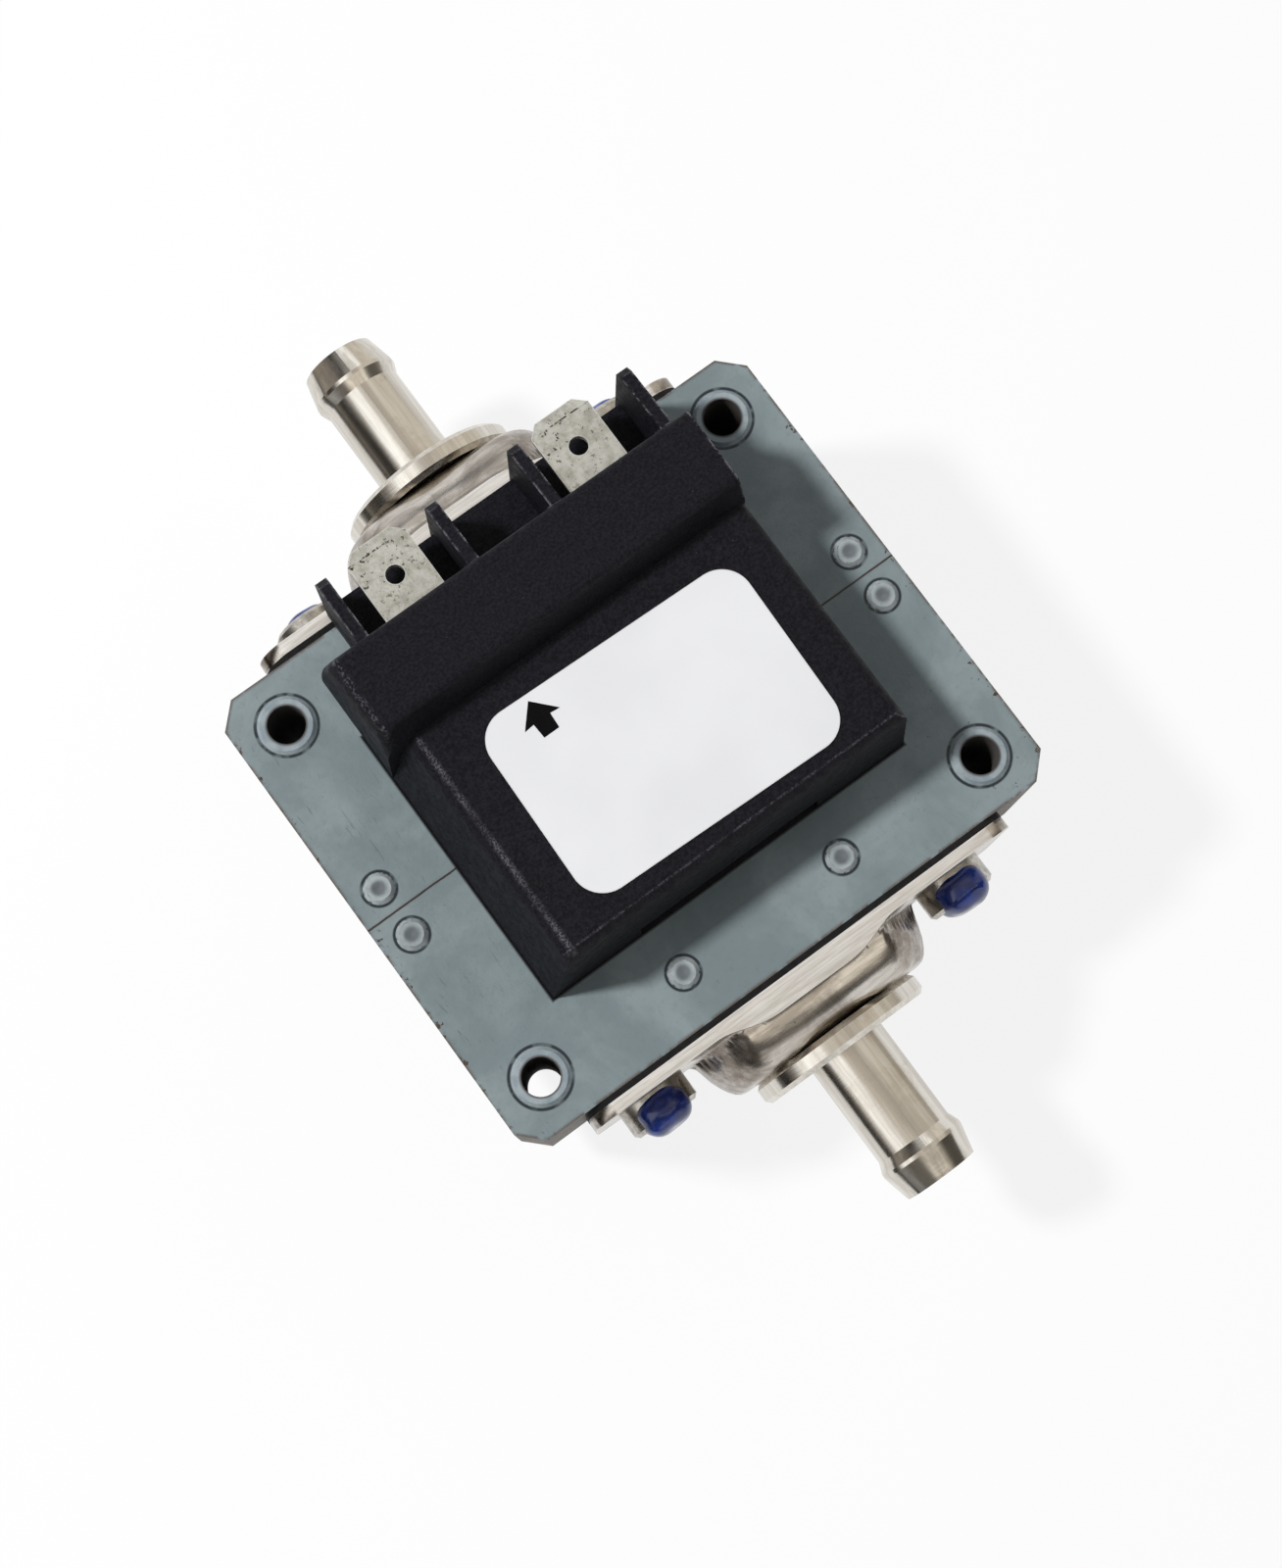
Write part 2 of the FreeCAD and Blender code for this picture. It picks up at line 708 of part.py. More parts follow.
def cylinder_block():
    """Stepped block in the tube's outlet end: piston bore, seal recess and valve seat."""
    front = nose_y + retainer_t
    nose_r = tube_inner_r - nose_gap
    bore_r = piston_r + piston_clearance
    profile = [(front, nose_r), (shoulder_y, nose_r), (shoulder_y, spigot_r), (block_end_y, spigot_r),
               (block_end_y, seat_hole_r), (bore_end_y, seat_hole_r), (bore_end_y, bore_r),
               (front + seal_length, bore_r), (front + seal_length, seal_r), (front, seal_r)]
    return turned(profile)


def piston_tube():
    """Hollow piston, pressed into the plunger, with the ball's cage in its tip."""
    root = plunger_front_y - piston_seat_depth
    seat = piston_tip_y - ball_cage_depth
    profile = [(root, ball_seat_r), (root, piston_r), (piston_tip_y, piston_r),
               (piston_tip_y, ball_cage_r), (seat, ball_cage_r), (seat, ball_seat_r)]
    return turned(profile)


def plunger():
    """Steel armature with a through bore and a counterbore for the piston."""
    c = plunger_chamfer
    root = plunger_front_y - piston_seat_depth
    profile = [(plunger_back_y, plunger_bore_r), (plunger_back_y, plunger_r - c),
               (plunger_back_y + c, plunger_r), (plunger_front_y - c, plunger_r),
               (plunger_front_y, plunger_r - c), (plunger_front_y, piston_r), (root, piston_r),
               (root, plunger_bore_r)]
    return turned(profile)


def ball_centre_y():
    """Centre of the suction ball when it lies in its seat."""
    seat = piston_tip_y - ball_cage_depth
    return seat + math.sqrt(ball_r ** 2 - ball_seat_r ** 2) + ball_rest_gap


def delivery_valve():
    """Disc on the seat with a short centring stem."""
    face = block_end_y + valve_t
    profile = [(block_end_y, 0), (block_end_y, valve_r), (face, valve_r), (face, valve_stem_r),
               (face + valve_stem_length, valve_stem_r), (face + valve_stem_length, 0)]
    return turned(profile)


def write(node, shape):
    """Check one sub-part and write it."""
    if not shape.isValid():
        print("not valid:", node)
    shape.exportStep("parts/" + node + ".step")


os.makedirs("parts", exist_ok=True)

write("core_half_outlet", core_half())
write("core_half_inlet", mirrored(core_half()))
write("corner_eyelets", corner_eyelets())
write("core_rivets", core_rivets())
write("coil_housing", coil_housing())
write("coil_bobbin", coil_bobbin())
write("coil_winding", coil_winding())
write("rectifier_diode", rectifier_diode())
write("terminal_tab_left", tab_blank(tab_left_x))
write("terminal_tab_right", tab_blank(tab_right_x))
write("label_plate", label_plate())

write("flange_gasket_outlet", flange_gasket())
write("flange_gasket_inlet", mirrored(flange_gasket()))
write("end_cap_outlet", end_cap())
write("end_cap_inlet", mirrored(end_cap()))
write("hose_barb_outlet", hose_barb_outlet())
write("hose_barb_inlet", hose_barb_inlet())
outlet_screws = Part.makeCompound([flange_screw(-1), flange_screw(1)])
write("flange_screws_outlet", outlet_screws)
write("flange_screws_inlet", mirrored(outlet_screws))
outlet_dabs = Part.makeCompound([lacquer_dab(-1), lacquer_dab(1)])
write("screw_seals_outlet", outlet_dabs)
write("screw_seals_inlet", mirrored(outlet_dabs))

write("guide_tube", guide_tube())
write("pole_ring_outlet", pole_ring(flux_front_y, face_y))
write("flux_spacer", pole_ring(flux_back_y, flux_front_y))
write("pole_ring_inlet", pole_ring(-face_y, flux_back_y))
write("o_ring_outlet", o_ring(face_y + o_ring_d / 2, tube_outer_r + o_ring_d / 2))
write("o_ring_inlet", o_ring(-face_y - tube_wall - o_ring_d / 2, tube_outer_r + o_ring_d / 2))

write("cylinder_block", cylinder_block())
write("piston_seal", ring_y(seal_r, piston_r + seal_clearance, nose_y + retainer_t,
                            nose_y + retainer_t + seal_length))
write("seal_retainer", ring_y(tube_inner_r - nose_gap, piston_r + retainer_gap, nose_y,
                              nose_y + retainer_t))
write("plunger", plunger())
write("piston_tube", piston_tube())
write("suction_ball", Part.makeSphere(ball_r, V(0, ball_centre_y(), axis_z)))
write("ball_cage_ring", ring_y(ball_cage_r, cage_ring_bore_r, piston_tip_y - cage_ring_t, piston_tip_y))
write("delivery_valve", delivery_valve())

write("return_spring", coil_spring(return_seat_y, plunger_back_y, return_mean_r, return_wire_r,
                                   return_turns))
write("damper_spring", coil_spring(plunger_front_y, nose_y, damper_mean_r, damper_wire_r,
                                   damper_turns))
write("delivery_spring", coil_spring(block_end_y + valve_t, collar_face_y - valve_chamber_end,
                                     delivery_mean_r, delivery_wire_r, delivery_turns))
wire_touch = math.sqrt((ball_r + suction_wire_r) ** 2 - suction_mean_r ** 2)
suction_spring_y = ball_centre_y() + wire_touch - suction_wire_r
write("suction_spring", coil_spring(suction_spring_y, piston_tip_y - cage_ring_t, suction_mean_r,
                                    suction_wire_r, suction_turns))
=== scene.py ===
import math

import bmesh
import bpy
from mathutils import Matrix, Vector, noise


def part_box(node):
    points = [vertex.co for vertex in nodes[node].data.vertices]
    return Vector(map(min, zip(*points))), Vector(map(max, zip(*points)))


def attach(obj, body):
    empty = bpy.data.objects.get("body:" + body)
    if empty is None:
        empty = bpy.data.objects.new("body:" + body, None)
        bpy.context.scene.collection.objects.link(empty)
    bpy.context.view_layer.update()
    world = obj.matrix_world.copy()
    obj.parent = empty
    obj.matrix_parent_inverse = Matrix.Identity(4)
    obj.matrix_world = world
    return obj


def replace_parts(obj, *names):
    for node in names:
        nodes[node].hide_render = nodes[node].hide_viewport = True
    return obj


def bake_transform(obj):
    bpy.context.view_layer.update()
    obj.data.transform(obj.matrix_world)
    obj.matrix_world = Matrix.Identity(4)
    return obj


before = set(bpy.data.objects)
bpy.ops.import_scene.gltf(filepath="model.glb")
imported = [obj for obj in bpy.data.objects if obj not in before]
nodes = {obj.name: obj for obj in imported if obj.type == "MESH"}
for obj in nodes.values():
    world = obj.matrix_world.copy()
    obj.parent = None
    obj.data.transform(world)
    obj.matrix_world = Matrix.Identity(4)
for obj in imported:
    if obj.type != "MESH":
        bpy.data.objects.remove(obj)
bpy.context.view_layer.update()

# Metres from millimetres. Sizes of new pieces are written in millimetres, in the frame's own axes.
MM = 0.001

# Levels that the new pieces and the finishes are fitted to, read from the CAD nodes. FLOOR_Z is in metres.
LABEL_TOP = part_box("label_plate")[1].z / MM
HOUSING_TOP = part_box("label_plate")[0].z / MM
CAP_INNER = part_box("end_cap_outlet")[0].y / MM
CAP_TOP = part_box("end_cap_outlet")[1].y / MM
CAP_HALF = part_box("end_cap_outlet")[1].x / MM
SCREW_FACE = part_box("flange_screws_outlet")[1].y / MM
FLOOR_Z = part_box("coil_housing")[0].z

# Places as in the part's source. The rivets and eyelets repeat in all four quarters.
AXIS_Z = 10.0
CORE_HALF = 30.0
WINDOW_HALF = (20.0, 15.0)
CAP_HALF_WIDTH = 10.0
SCREW_X = 17.5
BLOCK_FRONT = 10.2
RIVET_PLACES = [(26.9, 2.6), (9.0, 20.0)]
EYELET_PLACE = (25.0, 20.0)

# Places of wear, and of the painted glints on the block's end, as in the photograph
WORN_LINE_X = -16.5
WORN_LINE_Y = -13.2
BLOCK_END_X = -18.6
SCRATCHED_X = (-19.0, -24.0)
SPECKED_CORNER = (26.0, 52.0)
TAB_SCORE_Y = 26.1

# Sheets of the core and turns of the winding, each pitch in millimetres
SHEET_PITCH = 0.5
WIRE_PITCH = 0.35

# Camera, fitted to the corner holes, rivets, label corners and barb tips. CAMERA_CLIP is in metres.
CAMERA_TURN = math.radians(40.48)
CAMERA_TILT = math.radians(9.38)
CAMERA_ROLL = math.radians(-4.31)
CAMERA_SHIFT = (-0.82, 2.37)
CAMERA_DISTANCE = 250.0
CAMERA_LENS = 59.7
CAMERA_SENSOR = 36
CAMERA_CLIP = 0.01

# Where a noise texture's values mostly lie
NOISE_SPAN = (0.3, 0.7)


class Tree:
    """Nodes of one material, in millimetres of the object's own frame. Each call gives a socket.

    noise takes its scale per millimetre, detail, roughness and distortion. ease takes the values between
    which it runs, and what it runs from and to. rgb takes colours as they are seen, from 0 to 255.
    """

    def __init__(self, name):
        self.material = bpy.data.materials.new(name)
        self.material.use_nodes = True
        self.tree = self.material.node_tree
        self.shader = self.tree.nodes["Principled BSDF"]
        place = self.new("ShaderNodeTexCoord")
        self.facing = place.outputs["Normal"]
        self.point = self.scaled(place.outputs["Object"], (1 / MM, 1 / MM, 1 / MM))

    def new(self, kind):
        return self.tree.nodes.new(kind)

    def feed(self, socket, value):
        if isinstance(value, bpy.types.NodeSocket):
            self.tree.links.new(value, socket)
        else:
            socket.default_value = value

    def scaled(self, vector, factors):
        node = self.new("ShaderNodeVectorMath")
        node.operation = "MULTIPLY"
        self.feed(node.inputs[0], vector)
        self.feed(node.inputs[1], factors)
        return node.outputs[0]

    def calc(self, operation, a, b=0.0):
        node = self.new("ShaderNodeMath")
        node.operation = operation
        self.feed(node.inputs[0], a)
        self.feed(node.inputs[1], b)
        return node.outputs[0]

    def product(self, *factors):
        total = factors[0]
        for factor in factors[1:]:
            total = self.calc("MULTIPLY", total, factor)
        return total

    def parts(self, vector):
        node = self.new("ShaderNodeSeparateXYZ")
        self.feed(node.inputs[0], vector)
        return node.outputs["X"], node.outputs["Y"], node.outputs["Z"]

    def joined(self, x, y, z):
        node = self.new("ShaderNodeCombineXYZ")
        for socket, value in zip(node.inputs, (x, y, z)):
            self.feed(socket, value)
        return node.outputs[0]

    def plan_distance(self, centre):
        """Distance in plan from a centre that repeats in all four quarters."""
        x, y, _ = self.parts(self.point)
        node = self.new("ShaderNodeVectorMath")
        node.operation = "DISTANCE"
        self.feed(node.inputs[0], self.joined(self.calc("ABSOLUTE", x), self.calc("ABSOLUTE", y), 0.0))
        self.feed(node.inputs[1], (*centre, 0.0))
        return node.outputs["Value"]

    def noise(self, per_mm, detail=2.0, rough=0.5, warp=0.0, stretch=None):
        node = self.new("ShaderNodeTexNoise")
        node.inputs["Scale"].default_value = per_mm
        node.inputs["Detail"].default_value = detail
        node.inputs["Roughness"].default_value = rough
        node.inputs["Distortion"].default_value = warp
        self.feed(node.inputs["Vector"], self.scaled(self.point, stretch) if stretch else self.point)
        return node.outputs["Fac"]

    def ease(self, value, low, high, start=0.0, end=1.0):
        node = self.new("ShaderNodeMapRange")
        node.interpolation_type = "SMOOTHSTEP"
        self.feed(node.inputs["Value"], value)
        for name, number in (("From Min", low), ("From Max", high), ("To Min", start), ("To Max", end)):
            node.inputs[name].default_value = number
        return node.outputs["Result"]

    def spread(self, noise, start=0.0, end=1.0):
        """start to end over the span that the noise mostly has."""
        return self.ease(noise, *NOISE_SPAN, start, end)

    def band(self, value, centre, half, soft):
        """1 within half of the centre, fading to 0 over soft."""
        away = self.calc("ABSOLUTE", self.calc("SUBTRACT", value, centre))
        return self.ease(away, half, half + soft, 1.0, 0.0)

    def mix(self, factor, a, b):
        node = self.new("ShaderNodeMix")
        node.data_type = "RGBA"
        self.feed(node.inputs[0], factor)
        self.feed(node.inputs[6], a)
        self.feed(node.inputs[7], b)
        return node.outputs[2]

    def worn(self, radius, low, high):
        """1 on the object's outer and inner edges, by how far a rounded normal turns there."""
        rounded = self.new("ShaderNodeBevel")
        rounded.samples = 6
        rounded.inputs["Radius"].default_value = radius * MM
        flat = self.new("ShaderNodeNewGeometry")
        node = self.new("ShaderNodeVectorMath")
        node.operation = "DOT_PRODUCT"
        self.feed(node.inputs[0], rounded.outputs["Normal"])
        self.feed(node.inputs[1], flat.outputs["Normal"])
        return self.ease(node.outputs["Value"], high, low, 0.0, 1.0)

    def bump(self, height, depth):
        """Relief of depth millimetres on the shader, on top of what it has."""
        node = self.new("ShaderNodeBump")
        node.inputs["Distance"].default_value = depth * MM
        self.feed(node.inputs["Height"], height)
        had = self.shader.inputs["Normal"].links
        if had:
            self.feed(node.inputs["Normal"], had[0].from_socket)
        self.feed(self.shader.inputs["Normal"], node.outputs["Normal"])

    def specular(self, level):
        self.shader.inputs["Specular IOR Level"].default_value = level

    def finish(self, colour, rough, metal=0.0):
        self.feed(self.shader.inputs["Base Color"], colour)
        self.feed(self.shader.inputs["Roughness"], rough)
        self.feed(self.shader.inputs["Metallic"], metal)
        return self.material


def rgb(red, green, blue):
    """Colour as it is seen, 0 to 255, for a shader's socket."""
    linear = []
    for level in (red, green, blue):
        share = level / 255
        linear.append(share / 12.92 if share <= 0.04045 else ((share + 0.055) / 1.055) ** 2.4)
    return (*linear, 1.0)


def core_coating(name, rings):
    """Grey-blue varnish on the flat faces, bare brownish sheet edges round the sides."""
    t = Tree(name)
    x, y, z = t.parts(t.point)
    face = t.ease(t.calc("ABSOLUTE", t.parts(t.facing)[2]), 0.55, 0.8)

    clouds = t.noise(0.11, 4.0, 0.6, 0.4)
    paint = t.mix(t.ease(clouds, 0.35, 0.65), rgb(119, 131, 134), rgb(138, 149, 152))
    paint = t.mix(t.ease(t.noise(1.3, 3.0, 0.7), 0.5, 0.72, 0.0, 0.3), paint, rgb(110, 121, 125))

    left = t.ease(x, *SCRATCHED_X)
    scratches = t.ease(t.noise(1.0, 3.0, 0.7, 0.8, (2.2, 0.3, 1.0)), 0.63, 0.68, 0.0, 0.5)
    paint = t.mix(t.product(scratches, left), paint, rgb(84, 90, 93))

    ragged = t.product(t.calc("SUBTRACT", t.noise(0.9, 4.0, 0.75), 0.5), 8.0)
    chipped = t.ease(t.calc("ADD", t.calc("ABSOLUTE", x), ragged), CORE_HALF + 0.4, CORE_HALF + 0.6)
    paint = t.mix(chipped, paint, rgb(66, 54, 46))

    near_inlet_right = t.ease(t.calc("SUBTRACT", x, y), *SPECKED_CORNER)
    corner = t.calc("MAXIMUM", near_inlet_right, 0.16)
    specks = t.ease(t.noise(1.1, 4.0, 0.75), 0.64, 0.68)
    paint = t.mix(t.product(specks, corner), paint, rgb(72, 58, 50))

    # Painted shade in the groove round each rivet and eyelet, as a broken dark ring
    for centre, radius in rings:
        away = t.plan_distance(centre)
        broken = t.ease(t.noise(0.7, 2.0), 0.3, 0.5, 0.45, 1.0)
        ring = t.product(t.band(away, radius, 0.07, 0.16), broken)
        paint = t.mix(ring, paint, rgb(38, 44, 50))

    wobble = t.product(t.calc("SUBTRACT", t.noise(0.5, 3.0), 0.5), 0.18)
    split = t.band(t.calc("ADD", y, wobble), 0.0, 0.05, 0.09)
    paint = t.mix(split, paint, rgb(48, 40, 36))
    beyond_window = t.calc("MAXIMUM", t.calc("SUBTRACT", t.calc("ABSOLUTE", x), WINDOW_HALF[0]),
                           t.calc("SUBTRACT", t.calc("ABSOLUTE", y), WINDOW_HALF[1]))
    # Painted contact shadow: a dark line in the varnish along the window's outline, at the housing's foot
    paint = t.mix(t.ease(beyond_window, 0.3, 0.05), paint, rgb(24, 25, 28))

    stack = t.calc("SINE", t.product(z, 2 * math.pi / SHEET_PITCH))
    grime = t.noise(0.35, 4.0, 0.7, 0.3, (1.0, 1.0, 2.5))
    edge = t.mix(t.ease(grime, 0.3, 0.75), rgb(134, 127, 119), rgb(103, 92, 83))
    edge = t.mix(t.ease(stack, 0.1, 0.9, 0.0, 0.55), edge, rgb(74, 64, 57))
    edge = t.mix(t.ease(t.noise(0.25, 3.0), 0.45, 0.75, 0.0, 0.45), edge, rgb(128, 136, 139))
    edge = t.mix(split, edge, rgb(34, 28, 25))

    colour = t.mix(face, edge, paint)
    off_window = t.ease(beyond_window, 0.4, 1.2)
    off_split = t.ease(t.calc("ABSOLUTE", y), 0.3, 0.9, 0.2, 1.0)
    patches = t.ease(t.noise(0.45, 3.0, 0.7), 0.38, 0.52)
    rust = t.product(t.worn(0.7, 0.86, 0.99), patches, off_window, off_split)
    colour = t.mix(rust, colour, rgb(82, 68, 58))
    t.bump(t.noise(2.6, 3.0, 0.6), 0.03)
    t.bump(t.product(stack, t.calc("SUBTRACT", 1.0, face)), 0.035)
    t.specular(0.35)
    return t.finish(colour, t.spread(t.noise(0.8, 3.0), 0.42, 0.6))


def head_coating(name, centres, dark_radius, tone):
    """Varnished metal heads with painted shade in their dimpled middle, dulled and chipped on their edges."""
    t = Tree(name)
    colour = t.mix(t.ease(t.noise(0.9, 3.0), 0.35, 0.65), rgb(*tone), rgb(*(c + 18 for c in tone)))
    for centre in centres:
        away = t.plan_distance(centre)
        # Painted shade in the dimple of each head
        colour = t.mix(t.ease(away, dark_radius, dark_radius - 0.55, 0.0, 0.8), colour, rgb(78, 84, 88))
    chips = t.product(t.worn(0.25, 0.9, 0.99), t.ease(t.noise(1.6, 3.0), 0.5, 0.62))
    colour = t.mix(chips, colour, rgb(70, 62, 56))
    t.bump(t.noise(3.0, 3.0), 0.025)
    t.specular(0.45)
    return t.finish(colour, t.spread(t.noise(1.2), 0.34, 0.5))


def eyelet_coating(name):
    """Varnished rims that go over into a tube darkened with painted shade."""
    t = Tree(name)
    away = t.plan_distance(EYELET_PLACE)
    colour = t.mix(t.ease(t.noise(0.8, 3.0), 0.35, 0.65), rgb(136, 148, 154), rgb(158, 168, 172))
    inside = t.ease(away, 2.1, 1.82)
    # Painted shade inside the tube
    colour = t.mix(inside, colour, rgb(84, 82, 80))
    t.bump(t.noise(3.0, 3.0), 0.03)
    t.specular(0.15)
    return t.finish(colour, t.calc("MAXIMUM", t.spread(t.noise(1.0), 0.36, 0.52), inside))


def housing_plastic(name):
    """Near-black moulded plastic with a fine grain, pale along its top edges from wear and a painted
    highlight, with painted glints on the block's end.
    """
    t = Tree(name)
    x, y, z = t.parts(t.point)
    colour = t.mix(t.ease(t.noise(3.6, 3.0, 0.8), 0.38, 0.62), rgb(15, 14, 18), rgb(31, 30, 36))
    smears = t.ease(t.noise(0.5, 5.0, 0.7, 0.6, (0.35, 1.0, 1.0)), 0.58, 0.78, 0.0, 0.14)
    colour = t.mix(smears, colour, rgb(48, 47, 54))
    high = t.ease(z, HOUSING_TOP - 1.2, HOUSING_TOP - 0.5)
    crease = t.product(t.band(y, BLOCK_FRONT, 0.5, 0.3), t.band(z, HOUSING_TOP, 0.5, 0.4))
    patches = t.ease(t.noise(0.9, 4.0, 0.75), 0.42, 0.62)
    # Pale on the top edges: partly wear, partly a painted highlight
    wear_and_highlight = t.product(t.worn(0.4, 0.84, 0.985), patches, high, t.calc("SUBTRACT", 1.0, crease))
    colour = t.mix(wear_and_highlight, colour, rgb(122, 120, 126))
    on_top = t.product(t.band(z, HOUSING_TOP, 0.5, 0.3), t.ease(y, BLOCK_FRONT, BLOCK_FRONT - 0.6))
    line = t.calc("MAXIMUM", t.band(x, WORN_LINE_X, 0.02, 0.45),
                  t.product(t.band(y, WORN_LINE_Y, 0.02, 0.16), 0.7))
    dots = t.ease(t.noise(5.0, 2.0, 0.8), 0.44, 0.6, 0.06, 0.8)
    stretches = t.ease(t.noise(0.4, 2.0), 0.3, 0.6, 0.35, 1.0)
    line = t.product(line, on_top, dots, stretches)
    colour = t.mix(line, colour, rgb(104, 102, 108))
    # Painted glints: pale specks along the block's end edge
    block_end = t.band(x, BLOCK_END_X, 0.1, 0.35)
    on_block = t.ease(z, HOUSING_TOP, HOUSING_TOP + 0.6)
    painted_glints = t.product(block_end, on_block, t.ease(t.noise(3.2, 3.0, 0.8), 0.48, 0.62, 0.0, 0.45))
    colour = t.mix(painted_glints, colour, rgb(110, 108, 114))
    dust = t.ease(t.noise(2.2, 2.0, 0.8), 0.73, 0.77, 0.0, 0.35)
    colour = t.mix(dust, colour, rgb(120, 118, 120))
    t.bump(t.noise(5.5, 3.0, 0.6), 0.028)
    t.bump(t.noise(0.7, 2.0), 0.02)
    t.specular(0.13)
    return t.finish(colour, t.spread(t.noise(1.1, 3.0), 0.5, 0.68))


def plain_plastic(name, tone, rough):
    """Moulded or extruded plastic or rubber with a faint mottle and grain."""
    t = Tree(name)
    darker = tuple(level * 0.82 for level in tone)
    colour = t.mix(t.ease(t.noise(0.5, 3.0), 0.35, 0.65), rgb(*darker), rgb(*tone))
    t.bump(t.noise(4.0, 3.0), 0.02)
    t.specular(0.35)
    return t.finish(colour, t.spread(t.noise(1.5), rough - 0.08, rough + 0.08))


def label_film(name):
    """Satin white film, a little darker grey at its edges."""
    t = Tree(name)
    colour = t.mix(t.spread(t.noise(0.08, 2.0)), rgb(226, 226, 228), rgb(233, 233, 235))
    colour = t.mix(t.worn(0.3, 0.8, 0.97), colour, rgb(205, 204, 204))
    t.bump(t.noise(0.35, 2.0), 0.015)
    t.specular(0.35)
    return t.finish(colour, t.spread(t.noise(0.6), 0.38, 0.48))


def printed_ink(name):
    t = Tree(name)
    colour = t.mix(t.ease(t.noise(1.5, 4.0, 0.8), 0.6, 0.75, 0.0, 0.6), rgb(10, 9, 11), rgb(34, 33, 35))
    t.specular(0.08)
    return t.finish(colour, t.spread(t.noise(1.0), 0.45, 0.6))


def tab_tin(name):
    """Dull tin with dark pits towards the tip, a scored line and bright sheared edges."""
    t = Tree(name)
    y = t.parts(t.point)[1]
    level = t.ease(t.calc("ABSOLUTE", t.parts(t.facing)[2]), 0.5, 0.9)
    colour = t.mix(t.ease(t.noise(0.8, 5.0, 0.75), 0.35, 0.68), rgb(204, 203, 195), rgb(168, 166, 155))
    streaks = t.ease(t.noise(2.6, 3.0, 0.8, 0.0, (1.0, 0.4, 1.0)), 0.56, 0.7, 0.0, 0.5)
    colour = t.mix(streaks, colour, rgb(140, 134, 120))
    near_tip = t.ease(y, 20.0, 25.0, 0.4, 1.0)
    pits = t.product(t.ease(t.noise(1.8, 3.0, 0.7), 0.6, 0.64), near_tip)
    score = t.product(t.band(y, TAB_SCORE_Y, 0.03, 0.09), t.ease(t.noise(1.3, 2.0), 0.4, 0.55))
    colour = t.mix(t.product(t.calc("MAXIMUM", pits, score), level), colour, rgb(52, 46, 38))
    colour = t.mix(t.product(t.worn(0.18, 0.86, 0.98), 0.8), colour, rgb(236, 235, 230))
    t.bump(t.noise(1.8, 4.0, 0.7), 0.02)
    return t.finish(colour, t.spread(t.noise(1.4, 3.0), 0.4, 0.58), 0.5)


def steel(name, tone, rough, stain, stretch=None):
    """Bare metal: drawn or turned marks, a faint stain and small dark pits."""
    t = Tree(name)
    marks = t.noise(1.2, 5.0, 0.7, 0.0, stretch)
    dull = tuple(level * 0.8 for level in tone)
    colour = t.mix(t.ease(marks, 0.32, 0.68), rgb(*tone), rgb(*dull))
    blot = t.ease(t.noise(0.22, 3.0, 0.6, 0.5), 0.5, 0.68, 0.0, stain)
    colour = t.mix(blot, colour, rgb(132, 120, 104))
    pits = t.ease(t.noise(1.7, 3.0, 0.7), 0.7, 0.74, 0.0, 0.7)
    colour = t.mix(pits, colour, rgb(58, 52, 46))
    t.bump(marks, 0.008)
    return t.finish(colour, t.spread(marks, rough - 0.06, rough + 0.1), 1.0)


def pressed_steel(name):
    """Satin pressed stainless: warm stains, darker on the walls facing along X from stain and painted shade,
    a painted highlight along the edges, sheared edges with fine striations.
    """
    t = Tree(name)
    z = t.parts(t.point)[2]
    nx, _, nz = t.parts(t.facing)
    grain = t.noise(1.4, 4.0, 0.6, 0.0, (0.12, 1.0, 1.0))
    colour = t.mix(t.ease(grain, 0.32, 0.68), rgb(208, 203, 196), rgb(180, 173, 164))
    clouds = t.noise(0.17, 4.0, 0.65, 0.8)
    colour = t.mix(t.ease(clouds, 0.46, 0.7, 0.0, 0.55), colour, rgb(112, 102, 92))
    # Walls facing along X darker: partly mottled stain, partly painted shade
    wall_stain_and_shade = t.product(t.ease(t.calc("ABSOLUTE", nx), 0.2, 0.65),
                      t.ease(t.noise(0.7, 4.0, 0.7), 0.32, 0.6, 0.35, 0.8))
    colour = t.mix(wall_stain_and_shade, colour, rgb(116, 105, 95))
    pits = t.ease(t.noise(1.5, 3.0, 0.7), 0.68, 0.73, 0.0, 0.65)
    colour = t.mix(pits, colour, rgb(60, 53, 48))
    off_axis = t.calc("ABSOLUTE", t.calc("SUBTRACT", z, AXIS_Z))
    at_cut = t.ease(off_axis, CAP_HALF_WIDTH - 0.12, CAP_HALF_WIDTH - 0.03)
    sheared = t.product(at_cut, t.ease(t.calc("ABSOLUTE", nz), 0.7, 0.9))
    ridges = t.noise(1.0, 4.0, 0.7, 0.0, (0.16, 3.0, 1.0))
    cut = t.mix(t.spread(ridges), rgb(238, 235, 230), rgb(204, 198, 190))
    colour = t.mix(sheared, colour, cut)
    # Painted highlight along the edges
    bright = t.product(t.worn(0.25, 0.85, 0.98), 0.75)
    colour = t.mix(bright, colour, rgb(236, 234, 230))
    t.bump(grain, 0.01)
    t.bump(t.product(ridges, sheared), 0.01)
    t.bump(t.noise(0.4, 2.0, 0.4, 0.3, (0.3, 1.0, 1.0)), 0.12)
    rough = t.calc("ADD", t.spread(grain, 0.18, 0.3), t.product(sheared, 0.18))
    return t.finish(colour, rough, t.ease(sheared, 0.0, 1.0, 1.0, 0.5))


def polished_steel(name):
    """Turned and polished stainless with soft lengthwise streaks."""
    t = Tree(name)
    streaks = t.noise(1.0, 4.0, 0.65, 0.0, (1.1, 0.06, 1.1))
    colour = t.mix(t.ease(streaks, 0.34, 0.66), rgb(220, 216, 208), rgb(198, 192, 182))
    stain = t.ease(t.noise(0.3, 4.0, 0.7, 0.6), 0.52, 0.7, 0.0, 0.3)
    colour = t.mix(stain, colour, rgb(176, 163, 142))
    nicks = t.ease(t.noise(2.1, 3.0, 0.75), 0.71, 0.745, 0.0, 0.6)
    colour = t.mix(nicks, colour, rgb(70, 58, 46))
    t.bump(t.noise(1.0, 3.0, 0.6, 0.0, (0.4, 5.0, 0.4)), 0.004)
    return t.finish(colour, t.spread(streaks, 0.15, 0.24), 1.0)


